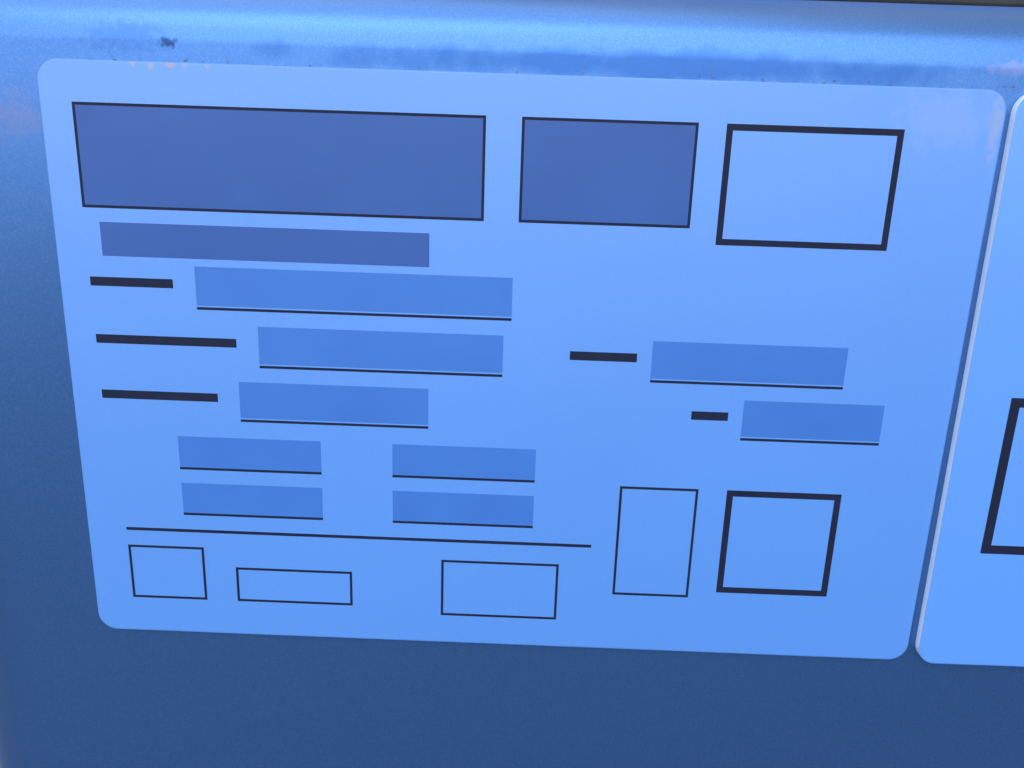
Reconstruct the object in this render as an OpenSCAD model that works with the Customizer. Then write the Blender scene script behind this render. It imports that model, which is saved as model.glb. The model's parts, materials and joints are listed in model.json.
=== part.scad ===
/* [Cabinet] */
// Width over the two side panels
cab_w = 800; // [760:10:880]
// Depth from the front stiles to the rear panel
cab_d = 640; // [620:10:720]
// Height of the side panels' top fold above the floor
cab_h = 1300; // [1280:10:1400]
// Thickness of the folded steel sheet
sheet = 3; // [2:0.5:4]
// Outer radius of the sheet's folds
fold_r = 8; // [6:0.5:9]
// Outer radius of the side panels' upright folds
corner_r = 14; // [10:1:16]
// Width of the side panels' flanges, which form the front stiles
flange_w = 70; // [66:1:76]
// Height of the two skids that the cabinet stands on
skid_h = 80; // [70:5:100]
// Width of a skid
skid_w = 60; // [50:5:70]
// Thickness of the top plate
cap_t = 6; // [5:1:10]

/* [Chamber] */
// Clear width between the liner walls
chamber_w = 600; // [560:10:600]
// Clear depth from the liner's front edge to the rear wall
chamber_d = 430; // [400:10:440]
// Thickness of the liner walls and the floor plate
liner_t = 4; // [3:0.5:6]
// Distance of the liner's front edge behind the stiles
liner_set = 25; // [24:1:30]
// Height of the cross bars under the floor
cross_h = 20; // [15:1:30]
// Number of cross bars under the floor
cross_n = 4; // [3:1:6]
// Number of strap channels in the floor and the platen
strap_n = 3; // [2:1:3]
// Width of a strap channel
strap_gap = 24; // [16:1:30]
// Height of the floor bars between the strap channels
floor_bar_h = 14; // [10:1:20]
// Height of the header, behind which the raised platen hangs
header_h = 232; // [225:1:250]
// Height of the middle rail
rail_h = 40; // [30:1:50]
// Height of the loading opening
load_h = 338; // [300:1:345]

/* [Doors] */
// Thickness of the doors
door_t = 44; // [38:1:50]
// Gap between the doors and the stiles
door_gap = 4; // [3:0.5:6]
// Overlap of the doors on the stiles
door_lap = 30; // [26:1:32]
// Gap between the two doors
door_split = 10; // [6:1:12]
// Radius of the hinge knuckles
knuckle_r = 12; // [11:0.5:13]
// Radius of the hinge pins
hinge_pin_r = 6; // [5:0.5:7]
// Height of a door's hinge knuckle
knuckle_h = 40; // [30:1:50]
// Distance of a hinge from the end of its door
hinge_inset = 70; // [60:1:90]
// Thickness of the hinge straps
strap_t = 6; // [4:0.5:7]
// Length of a hinge strap along the door
strap_len = 120; // [100:1:160]

/* [Latch] */
// Height of the latch's pivot above the floor
latch_z = 400; // [300:10:450]
// Radius of the latch's shaft
latch_shaft_r = 9; // [8:0.5:10]
// Length of the latch's lever, pivot to knob
lever_len = 220; // [180:10:260]
// Thickness of the lever and the boss it turns on
lever_t = 12; // [10:1:14]
// Diameter of the lever's ball knob
knob_d = 34; // [30:1:40]
// Reach of the latch's cam behind the stile
cam_reach = 20; // [14:1:24]

/* [Press] */
// Travel of the platen
stroke = 600; // [500:10:600]
// Thickness of the platen's plate
platen_t = 8; // [6:1:12]
// Height of the platen's upturned rim
platen_rim = 60; // [50:1:60]
// Height of the pressing bars under the platen
press_bar_h = 40; // [30:1:45]
// Running gap between the platen and the liner walls
platen_gap = 6; // [5:0.5:8]
// Height of the beam that carries the cylinder
beam_h = 117; // [110:1:120]
// Width of each of the beam's channels
beam_w = 50; // [45:1:60]
// Clear gap between the beam's channels
beam_gap = 84; // [80:1:100]
// Thickness of the beam's channels
beam_t = 8; // [6:0.5:10]

/* [Cylinder] */
// Radius of the cylinder's bore
bore_r = 37.5; // [35:0.5:40]
// Wall of the cylinder's barrel
barrel_t = 7.5; // [6:0.5:10]
// Radius of the piston rod
rod_r = 20; // [18:0.5:25]
// Height of the piston
piston_h = 40; // [30:1:50]
// Length of the gland inside the barrel
gland_h = 50; // [40:1:60]
// Thickness of the cylinder's square flange
cyl_flange_t = 18; // [14:1:24]
// Width of the cylinder's square flange
cyl_flange_w = 160; // [156:1:170]
// Distance between the flange's bolts
cyl_bolt_pitch = 124; // [122:1:128]
// Thickness of the cylinder's end cap
cyl_cap_t = 24; // [20:1:30]
// Radius of the clevis pin
clevis_pin_r = 12; // [10:0.5:14]

/* [Power unit] */
// Radius of the motor over its fins
motor_r = 72; // [65:1:80]
// Length of the motor's finned frame
motor_len = 170; // [150:5:200]
// Number of cooling fins round the motor
fin_n = 32; // [24:2:40]
// Width of the valve block
block_w = 90; // [80:1:110]
// Length of the oil tank
tank_len = 330; // [280:10:340]
// Width and height of the oil tank
tank_w = 160; // [140:1:170]
// Height of the brackets under the power unit
unit_foot_h = 20; // [15:1:40]
// Radius of the hydraulic pipes
pipe_r = 6; // [5:0.5:8]
// Bend radius of the hydraulic pipes, on their centre line
pipe_bend = 24; // [20:1:28]

/* [Controls] */
// Width of the control box
panel_w = 264; // [250:2:300]
// Height of the control box
panel_h = 150; // [140:2:170]
// Depth of the control box
panel_d = 62; // [50:1:64]
// Radius of the push buttons
button_r = 11; // [9:0.5:12]
// Radius of the mushroom stop button
mushroom_r = 20; // [16:0.5:22]

/* [Plates] */
// Width of the type plate
plate_w = 120; // [100:1:140]
// Height of the type plate
plate_h = 80; // [60:1:90]
// Thickness of the type plate
plate_t = 0.6; // [0.4:0.1:1]
// Thickness of the second plate
plate2_t = 1.2; // [1:0.1:2]
// Corner radius of the plates
plate_corner = 2.7; // [2:0.1:5]
// Gap between the type plate and the second plate
plate_gap = 0.9; // [0.8:0.1:5]
// Distance from the front fold to the type plate
plate_inset = 11.7; // [8:0.1:20]
// Distance from the top fold to the type plate
plate_drop = 2.6; // [0.5:0.1:20]

/* [Strapping] */
// Outer radius of a strap reel
reel_r = 74; // [60:1:76]
// Width of a strap reel
reel_w = 60; // [40:1:80]
// Radius of the rod that the reels turn on
reel_rod_r = 20; // [15:1:24]
// Height of the open reel bay's top above the floor
bay_top = 400; // [360:10:440]

/* [Hidden] */
$fn = 48;

// Colours of the sheet metal, the machinery and the fittings
paint = "#5f7da6";
dark_paint = "#2c3138";
zinc = "#b9bdc2";
steel = "#8f959c";
black = "#1d1f22";

// Clearances: a turning pin in its bore, and faces that stay just apart
pin_clear = 0.06;
near = 0.3;

// The cabinet's own frame: x 0 at its middle, y 0 at the stiles' front face, z 0 on the floor.
// place() moves it so that the origin is the middle of the whole machine's footprint.
boss_t = lever_t;
knob_neck = 4;
door_face = door_gap + door_t;
lever_face = door_face + boss_t;
front_reach = lever_face + lever_t + knob_neck + knob_d;
module place() translate([-plate2_t / 2, (front_reach - cab_d) / 2, 0]) children();

half_w = cab_w / 2;
stile_x = half_w - flange_w;
liner_x = chamber_w / 2;
chamber_back = liner_set + chamber_d;
floor_z = skid_h + cross_h;
floor_top = floor_z + liner_t;
bale_z = floor_top + floor_bar_h;
header_z = cab_h - header_h;
load_z = header_z - load_h;
rail_z = load_z - rail_h;
beam_top = cab_h - sheet;
beam_z = beam_top - beam_h;
cap_top = cab_h + cap_t;
axis_y = liner_set + chamber_d / 2;

// Outlines
module rounded(w, h, r) {
  square([w - 2 * r, h], center = true);
  square([w, h - 2 * r], center = true);
  for (x = [-1, 1], y = [-1, 1]) translate([x * (w / 2 - r), y * (h / 2 - r)]) circle(r);
}
// Two rounded corners on the closed side at y 0, open side towards +y
module pan_outline(w, d, r) {
  translate([-w / 2, r]) square([w, d - r]);
  translate([-w / 2 + r, 0]) square([w - 2 * r, 2 * r]);
  for (s = [-1, 1]) translate([s * (w / 2 - r), r]) circle(r);
}
module channel_outline(w, d, t, r) difference() {
  pan_outline(w, d, r);
  translate([0, t]) pan_outline(w - 2 * t, d, r - t);
}

// An outline's own x and y become y and z, or x and z
module along_x(l) rotate([90, 0, 90]) linear_extrude(l, center = true) children();
module along_y(l) rotate([90, 0, 0]) linear_extrude(l, center = true) children();
module rod_x(l, r) rotate([0, 90, 0]) cylinder(h = l, r = r, center = true);
// A round bar from y 0 towards the front
module rod_front(l, r) rotate([90, 0, 0]) cylinder(h = l, r = r);
module mirrored_x() for (s = [0, 1]) mirror([s, 0, 0]) children();

// Folded tray: closed face at y 0, open towards +y
module tray_solid(w, h, d, r) intersection() {
  linear_extrude(h, center = true) pan_outline(w, d, r);
  along_x(w) rotate(-90) pan_outline(h, d, r);
}
module tray(w, h, d, t, r) difference() {
  tray_solid(w, h, d, r);
  translate([0, t, 0]) tray_solid(w - 2 * t, h - 2 * t, d, r - t);
}
module hex_head(r, h) cylinder(h = h, r = r, $fn = 6);

// Round bar or pipe through a list of points, with true arcs at the bends
function unit(v) = v / norm(v);
module pipe_run(pts, r, bend) {
  last = len(pts) - 1;
  function leg(i) = unit(pts[i + 1] - pts[i]);
  function turn(i) = i <= 0 || i >= last ? 0 : acos(leg(i - 1) * leg(i));
  function cut(i) = bend * tan(turn(i) / 2);
  for (i = [0 : last - 1]) {
    d = leg(i);
    l = norm(pts[i + 1] - pts[i]) - cut(i) - cut(i + 1);
    translate(pts[i] + d * cut(i)) rotate([0, acos(d[2]), atan2(d[1], d[0])]) cylinder(h = l, r = r);
  }
  for (i = [1 : last - 1]) {
    d = leg(i - 1);
    axis = unit(cross(d, leg(i)));
    side = unit(cross(axis, d));
    c = pts[i] - d * cut(i) + side * bend;
    rows = [for (k = [0 : 2]) [-side[k], d[k], axis[k], c[k]]];
    multmatrix(concat(rows, [[0, 0, 0, 1]])) rotate_extrude(angle = turn(i)) translate([bend, 0]) circle(r);
  }
}

// Base: two channel skids with anchor tabs, joined by cross bars
tab_t = 8;
tab_w = 70;
tab_len = 80;
anchor_r = 7;
anchor_x = half_w - skid_w - tab_w / 2;
anchor_end = 60;
skid_wall = 4;
cross_w = 60;
cross_end = 50;
// Root gap of the weld between a skid and a cross bar
weld_gap = 0.3;
module skid() {
  translate([half_w, cab_d / 2, skid_h / 2]) along_y(cab_d) rotate(90)
    channel_outline(skid_h, skid_w, skid_wall, fold_r);
  for (y = [0, cab_d - skid_wall]) translate([half_w - skid_w, y, 0]) intersection() {
    cube([skid_w, skid_wall, skid_h]);
    translate([skid_w, 0, skid_h / 2]) along_y(3 * skid_wall) rotate(90) pan_outline(skid_h, skid_w, fold_r);
  }
  for (y = [anchor_end, cab_d - anchor_end]) difference() {
    translate([anchor_x - tab_w / 2, y - tab_len / 2, 0]) cube([tab_w + skid_w / 2, tab_len, tab_t]);
    translate([anchor_x, y, -1]) cylinder(h = tab_t + 2, r = anchor_r);
  }
}
module base_frame() color(dark_paint) place() {
  mirrored_x() skid();
  for (i = [0 : cross_n - 1])
    translate([0, cross_end + i * (cab_d - 2 * cross_end) / (cross_n - 1), skid_h + (cross_h + weld_gap) / 2])
      cube([2 * (half_w - sheet - near), cross_w, cross_h - weld_gap], center = true);
}

// Chamber floor: a plate folded down at the front, with bars between the strap channels
floor_half = stile_x - near;
floor_back = chamber_back + 30;
module chamber_floor() color(steel) place() {
  translate([-floor_half, 0, floor_z]) cube([2 * floor_half, floor_back, liner_t]);
  translate([-floor_half, 0, skid_h]) cube([2 * floor_half, liner_t, cross_h]);
}
function strap_x(i) = (i - (strap_n - 1) / 2) * chamber_w / strap_n;
function bar_low(i) = i == 0 ? -liner_x + platen_gap : strap_x(i - 1) + strap_gap / 2;
function bar_high(i) = i == strap_n ? liner_x - platen_gap : strap_x(i) - strap_gap / 2;
bar_round = 5;
module floor_bars() color(steel) place() for (i = [0 : strap_n])
  translate([(bar_low(i) + bar_high(i)) / 2, liner_set / 2 + floor_back / 2, bale_z]) rotate([-90, 0, 0])
    linear_extrude(floor_back - liner_set, center = true)
      pan_outline(bar_high(i) - bar_low(i), floor_bar_h, bar_round);

// Side panels: folded at the front, the back and the top
module side_envelope(inset) intersection() {
  reach = flange_w + (inset > 0 ? 1 : 0);
  translate([half_w - inset, cab_d / 2, skid_h - inset]) linear_extrude(cab_h - skid_h)
    rotate(90) pan_outline(cab_d - 2 * inset, reach, corner_r - inset);
  translate([half_w - inset, cab_d / 2, -inset]) along_y(cab_d) rotate(90)
    pan_outline(2 * cab_h, reach, fold_r - inset);
}
module side_panel() difference() {
  side_envelope(0);
  side_envelope(sheet);
}
module left_side_panel() color(paint) place() mirror([1, 0, 0]) side_panel();
module right_side_panel() color(paint) place() side_panel();

// Rear panel: louvred, folded in at its top and bottom, open reel bay below it
rear_w = 2 * (stile_x - near);
rear_h = cab_h - bay_top;
rear_fold = 24;
louvre_w = 120;
louvre_h = 9;
louvre_pitch = 26;
louvre_n = 6;
louvre_bank_x = 160;
louvre_top = 90;
module at_louvres() for (x = [-louvre_bank_x, louvre_bank_x], i = [0 : louvre_n - 1])
  translate([x, cab_d - sheet, cab_h - louvre_top - i * louvre_pitch]) children();
// A louvre pressed inwards: a quarter round that is open at its lower edge
module louvre(grow) along_x(louvre_w + 2 * grow) intersection() {
  circle(louvre_h + grow);
  translate([-louvre_h - sheet, 0]) square([louvre_h + sheet, louvre_h + sheet]);
}
module rear_panel() color(paint) place() difference() {
  union() {
    translate([0, cab_d, bay_top + rear_h / 2]) along_x(rear_w) rotate(90)
      channel_outline(rear_h, rear_fold, sheet, fold_r);
    at_louvres() louvre(sheet / 2);
  }
  at_louvres() {
    translate([0, 0, -1]) louvre(0);
    translate([0, sheet / 2, louvre_h / 2 - 1]) cube([louvre_w, 2 * sheet, louvre_h], center = true);
  }
}

// Header above the loading hatch, rail between the two doors
header_fold = 22;
module front_header() color(paint) place() translate([0, 0, header_z + header_h / 2])
  along_x(rear_w) rotate(-90) channel_outline(header_h, header_fold, sheet, fold_r);
module middle_rail() color(paint) place() translate([0, 0, rail_z + rail_h / 2]) along_x(rear_w)
  difference() {
    translate([(liner_set - 1) / 2, 0]) rounded(liner_set - 1, rail_h, bar_round);
    translate([(liner_set - 1) / 2, 0]) rounded(liner_set - 1 - 2 * sheet, rail_h - 2 * sheet, bar_round - sheet);
  }

// Liner walls, with flanges folded outwards
liner_flange = 20;
liner_h = beam_z - near - floor_top;
module side_liners() color(steel) place() mirrored_x()
  translate([liner_x, liner_set + chamber_d / 2, floor_top]) linear_extrude(liner_h) rotate(-90)
    channel_outline(chamber_d, liner_flange, liner_t, liner_t + 2);
rear_liner_lift = 2;
rear_liner_z = bale_z + rear_liner_lift;
rear_liner_w = chamber_w + 2 * liner_flange;
module rear_liner() color(steel) place() translate([-rear_liner_w / 2, chamber_back, rear_liner_z]) {
  cube([rear_liner_w, liner_t, beam_z - near - rear_liner_z]);
  cube([rear_liner_w, floor_back - chamber_back, liner_t]);
}

// Top plate and the beam under it that takes the pressing force
cap_inset = fold_r + 1;
cap_corner = 18;
cap_hole_r = bore_r + barrel_t + 3;
module top_plate() color(paint) place() difference() {
  translate([0, cab_d / 2, cab_h]) linear_extrude(cap_t)
    rounded(cab_w - 2 * cap_inset, cab_d - 2 * cap_inset, cap_corner);
  translate([0, axis_y, cab_h - 1]) cylinder(h = cap_t + 2, r = cap_hole_r);
  at_cylinder_bolts() translate([0, 0, cab_h - 1]) cylinder(h = cap_t + 2, r = cyl_bolt_r);
}
cyl_bolt_r = 7;
module at_cylinder_bolts() for (x = [-1, 1], y = [-1, 1])
  translate([x * cyl_bolt_pitch / 2, axis_y + y * cyl_bolt_pitch / 2, 0]) children();
beam_pad = 30;
module press_beam() color(dark_paint) place() difference() {
  union() {
    for (s = [-1, 1]) translate([0, axis_y + s * beam_gap / 2, beam_z + beam_h / 2])
      along_x(2 * (half_w - fold_r - near)) rotate(s > 0 ? -90 : 90)
        channel_outline(beam_h, beam_w, beam_t, beam_t + 3);
    translate([0, axis_y, beam_top + sheet / 2])
      cube([cyl_flange_w + 2 * beam_pad, beam_gap + 2 * beam_w, sheet], center = true);
  }
  translate([0, axis_y, beam_z]) cylinder(h = beam_h + 2 * sheet, r = cap_hole_r);
  at_cylinder_bolts() translate([0, 0, beam_top - beam_t - 1]) cylinder(h = beam_t + sheet + 2, r = cyl_bolt_r);
}

// Cylinder: flanged barrel, gland, end cap, rod with its piston and eye
barrel_r = bore_r + barrel_t;
cap_plug = 30;
piston_rest = 5;
piston_spare = 30;
barrel_h = gland_h + piston_spare + stroke + piston_h + piston_rest + cap_plug;
barrel_top = cap_top + barrel_h;
piston_top = barrel_top - cap_plug - piston_rest;
port_r = 11;
port_len = 12;
port_x = barrel_r + port_len;
rod_port_z = cap_top + gland_h + piston_spare / 2;
head_port_z = barrel_top + cyl_cap_t / 2;
module cylinder_barrel() color(dark_paint) place() difference() {
  union() {
    translate([0, axis_y, cap_top]) cylinder(h = barrel_h, r = barrel_r);
    translate([0, axis_y, cap_top]) linear_extrude(cyl_flange_t) rounded(cyl_flange_w, cyl_flange_w, 14);
    translate([0, axis_y, rod_port_z]) rotate([0, -90, 0]) cylinder(h = port_x, r = port_r);
  }
  translate([0, axis_y, cap_top - 1]) cylinder(h = barrel_h + 2, r = bore_r);
  at_cylinder_bolts() translate([0, 0, cap_top - 1]) cylinder(h = cyl_flange_t + 2, r = cyl_bolt_r);
  translate([0, axis_y, rod_port_z]) rotate([0, -90, 0]) cylinder(h = port_x + 1, r = pipe_r);
}
gland_collar = 9;
module cylinder_gland() color(steel) place() translate([0, axis_y, 0]) difference() {
  union() {
    translate([0, 0, cap_top]) cylinder(h = gland_h, r = bore_r - pin_clear);
    translate([0, 0, cap_top - gland_collar]) cylinder(h = gland_collar, r = cap_hole_r - 1);
  }
  translate([0, 0, cap_top - gland_collar - 1]) cylinder(h = gland_h + gland_collar + 2, r = rod_r + pin_clear);
}
module cylinder_cap() color(dark_paint) place() translate([0, axis_y, barrel_top]) difference() {
  union() {
    rotate_extrude() polygon([[0, 0], [barrel_r + 5, 0], [barrel_r + 5, cyl_cap_t - 5],
      [barrel_r, cyl_cap_t], [0, cyl_cap_t]]);
    translate([0, 0, -cap_plug]) cylinder(h = cap_plug, r = bore_r - pin_clear);
    translate([0, 0, cyl_cap_t / 2]) rotate([0, -90, 0]) cylinder(h = port_x, r = port_r);
  }
  translate([port_depth - port_x, 0, cyl_cap_t / 2]) rotate([0, -90, 0]) cylinder(h = port_depth + 1, r = pipe_r);
}
washer_t = 3;
module cylinder_bolts() color(zinc) place() at_cylinder_bolts() {
  translate([0, 0, cap_top + cyl_flange_t]) {
    cylinder(h = washer_t, r = 13);
    translate([0, 0, washer_t]) hex_head(12, 9);
  }
  translate([0, 0, beam_top - beam_t - 10]) cylinder(h = cap_top + cyl_flange_t - beam_top + beam_t + 10, r = cyl_bolt_r - near);
}
eye_z = beam_z - 28;
eye_w = 32;
eye_r = 25;
collar_r = 28;
collar_h = 16;
module piston_rod() color(zinc) place() translate([0, axis_y, 0]) difference() {
  union() {
    translate([0, 0, piston_top - piston_h]) difference() {
      cylinder(h = piston_h, r = bore_r - near);
      for (k = [1 : 3]) translate([0, 0, k * piston_h / 4]) rotate_extrude()
        translate([bore_r - 2.5, -2]) square([5, 4]);
    }
    translate([0, 0, beam_z]) cylinder(h = piston_top - piston_h - beam_z, r = rod_r);
    translate([0, 0, beam_z]) cylinder(h = collar_h, r = collar_r);
    along_x(eye_w) {
      translate([0, eye_z]) circle(eye_r);
      translate([-eye_r, eye_z]) square([2 * eye_r, beam_z - eye_z + 1]);
    }
  }
  translate([0, 0, eye_z]) rod_x(eye_w + 2, clevis_pin_r + pin_clear);
}

// Platen: tray with a folded rim, cross webs and the two ears of the clevis
platen_z = eye_z - eye_r - 8;
platen_bottom = platen_z - platen_t;
bars_z = platen_bottom - press_bar_h;
platen_w = chamber_w - 2 * platen_gap;
platen_d = chamber_d - 2 * platen_gap;
ear_t = 12;
ear_x = eye_w / 2 + 1;
rim_top = min(platen_z + platen_rim, beam_z - 4);
web_y = 62;
module platen() color(dark_paint) place() translate([0, axis_y, 0]) {
  translate([0, 0, platen_bottom]) linear_extrude(platen_t) square([platen_w, platen_d], center = true);
  translate([0, 0, platen_z]) linear_extrude(rim_top - platen_z) difference() {
    square([platen_w, platen_d], center = true);
    square([platen_w - 2 * platen_t, platen_d - 2 * platen_t], center = true);
  }
  for (s = [-1, 1]) {
    translate([0, s * web_y, (platen_z + rim_top) / 2 - 3]) cube([platen_w - platen_t, platen_t, rim_top - platen_z - 6], center = true);
    translate([s * (ear_x + ear_t / 2), 0, 0]) difference() {
      along_x(ear_t) {
        translate([0, eye_z]) circle(eye_r);
        polygon([[-web_y, platen_z], [web_y, platen_z], [eye_r, eye_z], [-eye_r, eye_z]]);
      }
      translate([0, 0, eye_z]) rod_x(ear_t + 2, clevis_pin_r + pin_clear);
    }
  }
}
press_bar_t = 5;
module pressing_bars() color(dark_paint) place() for (i = [0 : strap_n])
  translate([(bar_low(i) + bar_high(i)) / 2, axis_y, bars_z]) rotate([90, 0, 0])
    linear_extrude(platen_d, center = true)
      channel_outline(bar_high(i) - bar_low(i), press_bar_h, press_bar_t, press_bar_t + 4);
pin_head = 4;
module clevis_pin() color(zinc) place() translate([0, axis_y, eye_z]) {
  rod_x(2 * (ear_x + ear_t + near), clevis_pin_r);
  for (s = [-1, 1]) translate([s * (ear_x + ear_t + near + pin_head / 2), 0, 0]) rod_x(pin_head, clevis_pin_r + 4);
}

// Power unit on the top plate behind the cylinder: motor, valve block and tank in one line
unit_y = axis_y + barrel_r + 45 + tank_w / 2;
unit_z = cap_top + unit_foot_h + tank_w / 2;
block_x = -block_w / 2 - 40;
tank_x = block_x + block_w / 2;
shield_t = 14;
motor_x = block_x - block_w / 2 - shield_t;
fan_len = 52;
tank_wall = 2.5;
tank_round = 22;
tank_rib = 12;
module oil_tank() color(black) place() translate([tank_x, unit_y, unit_z]) {
  difference() {
    translate([tank_len / 2, 0, 0]) along_x(tank_len) rounded(tank_w, tank_w, tank_round);
    translate([tank_rib + (tank_len - tank_rib) / 2, 0, 0]) along_x(tank_len - tank_rib - 2 * tank_wall)
      rounded(tank_w - 2 * tank_wall, tank_w - 2 * tank_wall, tank_round - tank_wall);
    translate([tank_len - 60, 0, 0]) cylinder(h = tank_w, r = filler_r - 4);
  }
  translate([tank_rib / 2, 0, 0]) along_x(tank_rib) rounded(tank_w + 10, tank_w + 10, tank_round + 5);
}
bracket_t = 5;
bracket_w = 36;
bracket_x = [tank_x + 46, tank_x + tank_len - 46, motor_x - 40, motor_x - motor_len + 34];
// Folded foot under the tank, saddle with two cheeks under the motor
module unit_brackets() color(zinc) place() translate([0, unit_y, cap_top]) for (i = [0 : 3])
  translate([bracket_x[i], 0, 0]) if (i < 2) along_x(bracket_w) difference() {
    translate([-tank_w / 2, 0]) square([tank_w, unit_foot_h]);
    translate([-tank_w / 2 + bracket_t, -1]) square([tank_w - 2 * bracket_t, unit_foot_h - bracket_t + 1]);
  } else along_x(bracket_w) difference() {
    translate([-motor_r * 0.8, 0]) square([motor_r * 1.6, unit_foot_h + tank_w / 2 - motor_r * 0.7]);
    translate([0, unit_z - cap_top]) circle(motor_r + near);
    translate([-motor_r * 0.8 + 14, -1]) square([motor_r * 1.6 - 28, unit_foot_h + tank_w / 2 - motor_r - bracket_t + 1]);
  }
block_h = 96;
module valve_block() color(steel) place() translate([block_x, unit_y, unit_z]) difference() {
  along_x(block_w) rounded(block_h, block_h, 3);
  translate([pipe_x - block_x, 0, block_h / 2 - port_depth]) cylinder(h = 10, r = pipe_r);
  translate([pipe_x - block_x, port_depth - block_h / 2, rod_port_z - unit_z]) rod_front(10, pipe_r);
}
coil_w = 42;
coil_h = 54;
module solenoid_valve() color(black) place() translate([block_x + 20, unit_y + 6, unit_z + block_h / 2]) {
  hex_head(16, 8);
  translate([0, 0, 8]) linear_extrude(coil_h) rounded(coil_w, coil_w, 6);
  translate([0, 0, 8 + coil_h]) cylinder(h = 7, r = 12);
  translate([0, coil_w / 2 + 11, 8 + coil_h / 2]) along_x(28) rounded(24, 30, 4);
}
gauge_r = 26;
gauge_out = 34;
module pressure_gauge() color(black) place() translate([block_x + 18, unit_y - block_h / 2, unit_z + 14]) {
  rod_front(gauge_out, 7);
  rotate([90, 0, 0]) translate([0, 0, gauge_out - 10]) rotate_extrude() polygon([[0, 0], [gauge_r, 0],
    [gauge_r, 22], [gauge_r - 2, 24], [gauge_r - 4, 24], [gauge_r - 4, 20], [0, 20]]);
}
filler_r = 20;
module filler_cap() color(black) place() translate([tank_x + tank_len - 60, unit_y, unit_z + tank_w / 2])
  difference() {
    union() {
      cylinder(h = 6, r = filler_r + 5);
      translate([0, 0, 6]) cylinder(h = 24, r = filler_r);
    }
    for (a = [0 : 30 : 330]) rotate(a) translate([filler_r + 1, 0, 9]) cylinder(h = 22, r = 3, $fn = 16);
  }
fin_t = 2.4;
fin_h = 9;
seat_w = 68;
seat_sink = 22;
seat_top = 2;
module motor_frame() color(paint) place() translate([motor_x - motor_len / 2, unit_y, unit_z])
  along_x(motor_len) {
    circle(motor_r - fin_h);
    for (i = [0 : fin_n - 1]) rotate(i * 360 / fin_n)
      translate([motor_r - fin_h - 1, -fin_t / 2]) square([fin_h + 1, fin_t]);
    translate([-seat_w / 2, motor_r - seat_sink]) square([seat_w, seat_sink + seat_top]);
  }
// End shield: a stepped casting with a boss that the valve block is bolted to
shield_lip = 2;
shield_step = 5;
shield_boss_r = 36;
shield_bolt_r = 5;
module motor_end_shield() color(paint) place() translate([motor_x, unit_y, unit_z]) rotate([0, 90, 0]) {
  rim = motor_r + shield_lip;
  face = shield_t - shield_step;
  rotate_extrude() polygon([[0, 0], [rim, 0], [rim, face - 2], [rim - 2, face],
    [shield_boss_r + 3, face], [shield_boss_r, shield_t], [0, shield_t]]);
  for (a = [45 : 90 : 315]) rotate(a) translate([motor_r - 2 * shield_bolt_r, 0, face])
    hex_head(shield_bolt_r, shield_step - 1);
}
fan_wall = 2;
module fan_cover() color(black) place() translate([motor_x - motor_len, unit_y, unit_z]) rotate([0, -90, 0])
  difference() {
    rotate_extrude() polygon([[0, 0], [motor_r + 3, 0], [motor_r + 3, fan_len - 14],
      [motor_r - 9, fan_len], [0, fan_len]]);
    translate([0, 0, -1]) cylinder(h = fan_len - fan_wall, r = motor_r - 12);
    for (i = [0 : 3], a = [0 : 30 : 330]) rotate(a + i * 15) translate([20 + i * 11, 0, fan_len - 5])
      cylinder(h = 10, r = 3.4, $fn = 16);
  }
cap_box_w = 110;
cap_box_d = 76;
cap_box_h = 52;
cap_box_z = unit_z + motor_r + seat_top;
module capacitor_box() color(black) place() translate([motor_x - motor_len / 2, unit_y, cap_box_z]) {
  linear_extrude(cap_box_h) rounded(cap_box_w, cap_box_d, 8);
  translate([0, 0, cap_box_h]) linear_extrude(4) rounded(cap_box_w - 6, cap_box_d - 6, 6);
  translate([0, -cap_box_d / 2, cap_box_h / 2]) rod_front(box_gland_l, 11);
}
// Cable from the capacitor box to the gland in the top plate
cable_r = 5;
cable_out = 42;
cable_bend = 24;
box_gland_l = 16;
inlet_nut_r = 13;
inlet_nut_h = 10;
inlet_h = 26;
cable_y = unit_y - cap_box_d / 2 - box_gland_l;
module motor_cable() color(black) place() {
  x = motor_x - motor_len / 2;
  pipe_run([[x, cable_y, cap_box_z + cap_box_h / 2], [x, cable_y - cable_out, cap_box_z + cap_box_h / 2],
    [x, cable_y - cable_out, cap_top + inlet_h]], cable_r, cable_bend);
  translate([x, cable_y - cable_out, cap_top]) {
    hex_head(inlet_nut_r, inlet_nut_h);
    cylinder(h = inlet_h, r = inlet_nut_r - 3);
  }
}

// Hydraulic pipes from the valve block to the two ends of the cylinder
riser_h = 80;
pipe_set = 22;
riser_z = unit_z + block_h / 2 + riser_h;
block_front = unit_y - block_h / 2;
pipe_x = block_x - pipe_set;
port_depth = 7;
module hydraulic_pipes() color(zinc) place() {
  pipe_run([[pipe_x, unit_y, unit_z + block_h / 2 - port_depth], [pipe_x, unit_y, riser_z],
    [pipe_x, axis_y, riser_z], [pipe_x, axis_y, head_port_z], [port_depth - port_x, axis_y, head_port_z]],
    pipe_r, pipe_bend);
  pipe_run([[pipe_x, block_front + port_depth, rod_port_z], [pipe_x, axis_y, rod_port_z],
    [port_depth - port_x, axis_y, rod_port_z]], pipe_r, pipe_bend);
}
nut_r = 13;
nut_h = 14;
clamp_w = 16;
clamp_low = 260;
clamp_high = 520;
clamp_z = [cap_top + clamp_low, cap_top + clamp_high];
module pipe_nut() difference() {
  hex_head(nut_r, nut_h);
  translate([0, 0, -1]) cylinder(h = nut_h + 2, r = pipe_r + pin_clear);
}
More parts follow.
